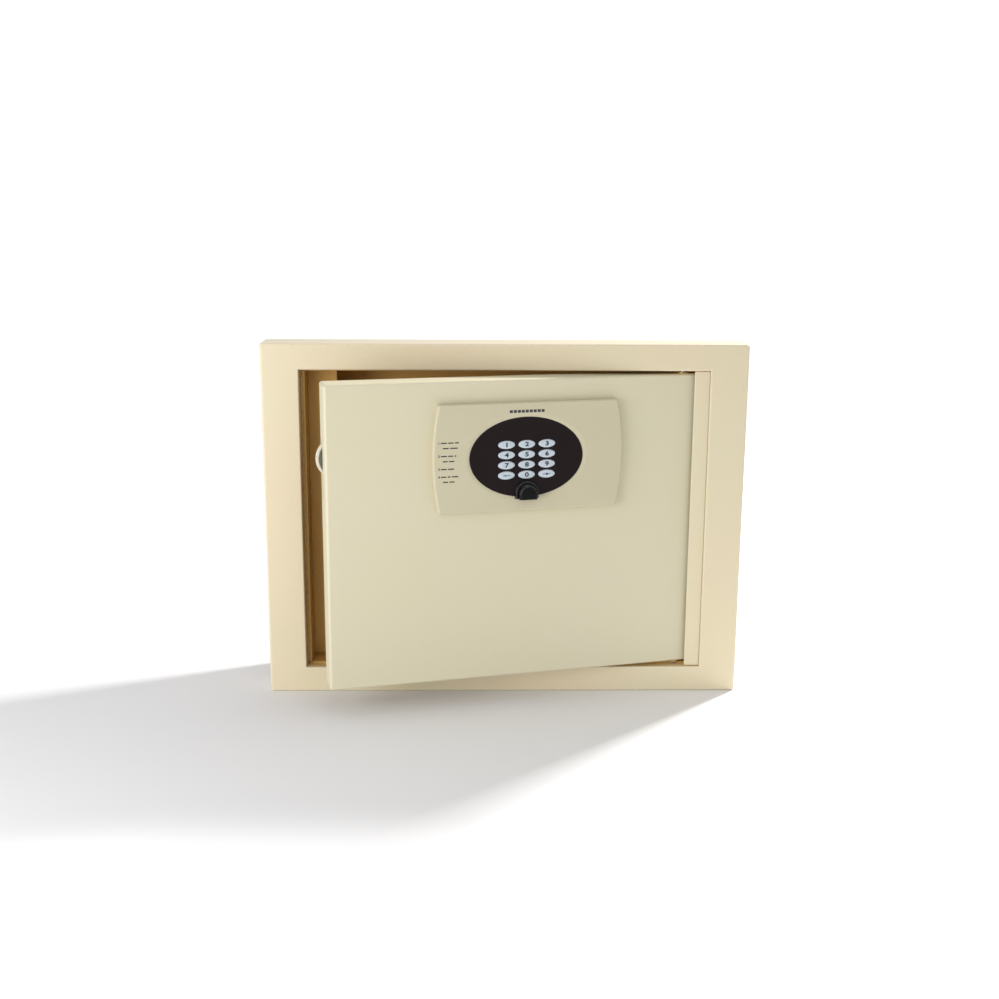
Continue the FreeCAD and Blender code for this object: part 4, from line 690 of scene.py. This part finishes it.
# ---- back cover screws --------------------------------------------------------------------------
# Pan-head machine screws, cold headed in zinc plated steel with a cross recess pressed into each
# crown.  They go through the back cover into the standoffs.
zinc = finish("zinc_plated_steel", (0.55, 0.56, 0.57), (0.46, 0.47, 0.47), rough=0.36, metal=1.0,
              grain_size=900.0, depth=0.00003, stretch=(1, 6, 1), edge=(0.75, 0.75, 0.74))
plain_screws = bmesh.new()
plain_screws.from_mesh(frame["nodes"]["cover_screws"].data)
bmesh.ops.transform(plain_screws, matrix=ajar.inverted(), verts=plain_screws.verts)
bmesh.ops.remove_doubles(plain_screws, verts=plain_screws.verts, dist=0.001 * MM)
bmesh.ops.dissolve_limit(plain_screws, angle_limit=math.radians(0.5), verts=plain_screws.verts,
                         edges=plain_screws.edges)
tip, crown = (pick(v.co.y for v in plain_screws.verts) for pick in (min, max))
crowns = [f.calc_center_bounds() for f in plain_screws.faces
          if f.normal.y > 0.99 and f.calc_center_bounds().y > crown - 0.01 * MM]
plain_screws.free()
# Turned outline of a screw: radius in millimetres and place along the screw.
turned_profile = [(1.6, tip), (2.0, tip + 0.4 * MM), (2.0, crown - 1.8 * MM), (3.4, crown - 1.8 * MM),
                  (3.5, crown - 1.65 * MM), (3.5, crown - 0.9 * MM), (3.3, crown - 0.45 * MM),
                  (2.8, crown - 0.15 * MM), (2.3, crown)]
cross_arm, cross_half, cross_depth = 1.8 * MM, 0.42 * MM, 1.0 * MM
quarter = [(cross_half, cross_arm), (-cross_half, cross_arm), (-cross_half, cross_half)]
screw_shape = bmesh.new()
for spot in crowns:
    turned_rings = [oval_ring(screw_shape, (spot.x, spot.z), radius * MM, radius * MM, y, 32)
                    for radius, y in turned_profile]
    joined_rings(screw_shape, turned_rings)
    bmesh.ops.contextual_create(screw_shape, geom=turned_rings[0])
    crosses = []
    for share, y in ((1.0, crown), (0.8, crown - cross_depth)):
        corners = [Matrix.Rotation(turn * math.pi / 2, 2) @ Vector(corner) * share
                   for turn in range(4) for corner in quarter]
        points = [screw_shape.verts.new((spot.x + at.x, y, spot.z + at.y)) for at in corners]
        crosses.append([screw_shape.edges.new((points[i - 1], points[i])) for i in range(12)])
    bmesh.ops.triangle_fill(screw_shape, edges=turned_rings[-1] + crosses[0], use_beauty=True,
                            normal=(0, 1, 0))
    joined_rings(screw_shape, crosses)
    bmesh.ops.contextual_create(screw_shape, geom=crosses[1])
bmesh.ops.recalc_face_normals(screw_shape, faces=screw_shape.faces)
piece("back_cover_screws", screw_shape, "door", ["cover_screws"], [zinc], ajar)


# ---- pieces kept as modelled --------------------------------------------------------------------
# Hinge blocks, lock, boards and battery bay: turned, stamped and moulded pieces whose shapes are
# right as they are.  Each takes the surface of its own material.
kept = {
    "steel": zinc,
    "brass": finish("machined_brass", (0.50, 0.35, 0.15), (0.43, 0.30, 0.12), rough=0.42, metal=1.0,
                    grain_size=1100.0, depth=0.00003, stretch=(1, 6, 1), edge=(0.8, 0.62, 0.32)),
    "motor_can": finish("nickel_plated_can", (0.60, 0.58, 0.54), (0.52, 0.50, 0.46), rough=0.27,
                        metal=1.0, grain_size=1300.0, depth=0.00002, edge=(0.8, 0.78, 0.74)),
    "black_plastic": finish("black_moulding", (0.018, 0.018, 0.019), (0.026, 0.026, 0.027), rough=0.45,
                            grain_size=1800.0, depth=0.00005, edge=(0.07, 0.07, 0.07)),
    "rubber": finish("grey_rubber", (0.045, 0.044, 0.043), (0.065, 0.063, 0.06), rough=0.75,
                     grain_size=1400.0, depth=0.00006, edge=(0.11, 0.11, 0.11)),
    "laminate": finish("green_laminate", (0.020, 0.115, 0.050), (0.030, 0.140, 0.060), rough=0.34,
                       grain_size=1600.0, depth=0.00003, stretch=(6, 1, 1), edge=(0.30, 0.33, 0.20)),
    "nylon": finish("white_nylon", (0.72, 0.71, 0.66), (0.66, 0.65, 0.60), rough=0.48,
                    grain_size=1500.0, depth=0.00003, edge=(0.82, 0.81, 0.77)),
    "ribbon": finish("grey_ribbon", (0.33, 0.34, 0.36), (0.27, 0.28, 0.30), rough=0.5,
                     grain_size=900.0, depth=0.00008, stretch=(9, 1, 0.2), edge=(0.45, 0.45, 0.47)),
    "cell_jacket": finish("printed_cell_jacket", (0.035, 0.04, 0.045), (0.42, 0.24, 0.06), rough=0.28,
                          metal=0.6, grain_size=1200.0, depth=0.00002, edge=(0.5, 0.45, 0.4),
                          stretch=(0.2, 1, 1), drift_size=40.0),
}
for name, node in frame["nodes"].items():
    if not node.hide_render:
        old = node.material_slots[0].material.name.split(".")[0]
        node.material_slots[0].material = kept[old]
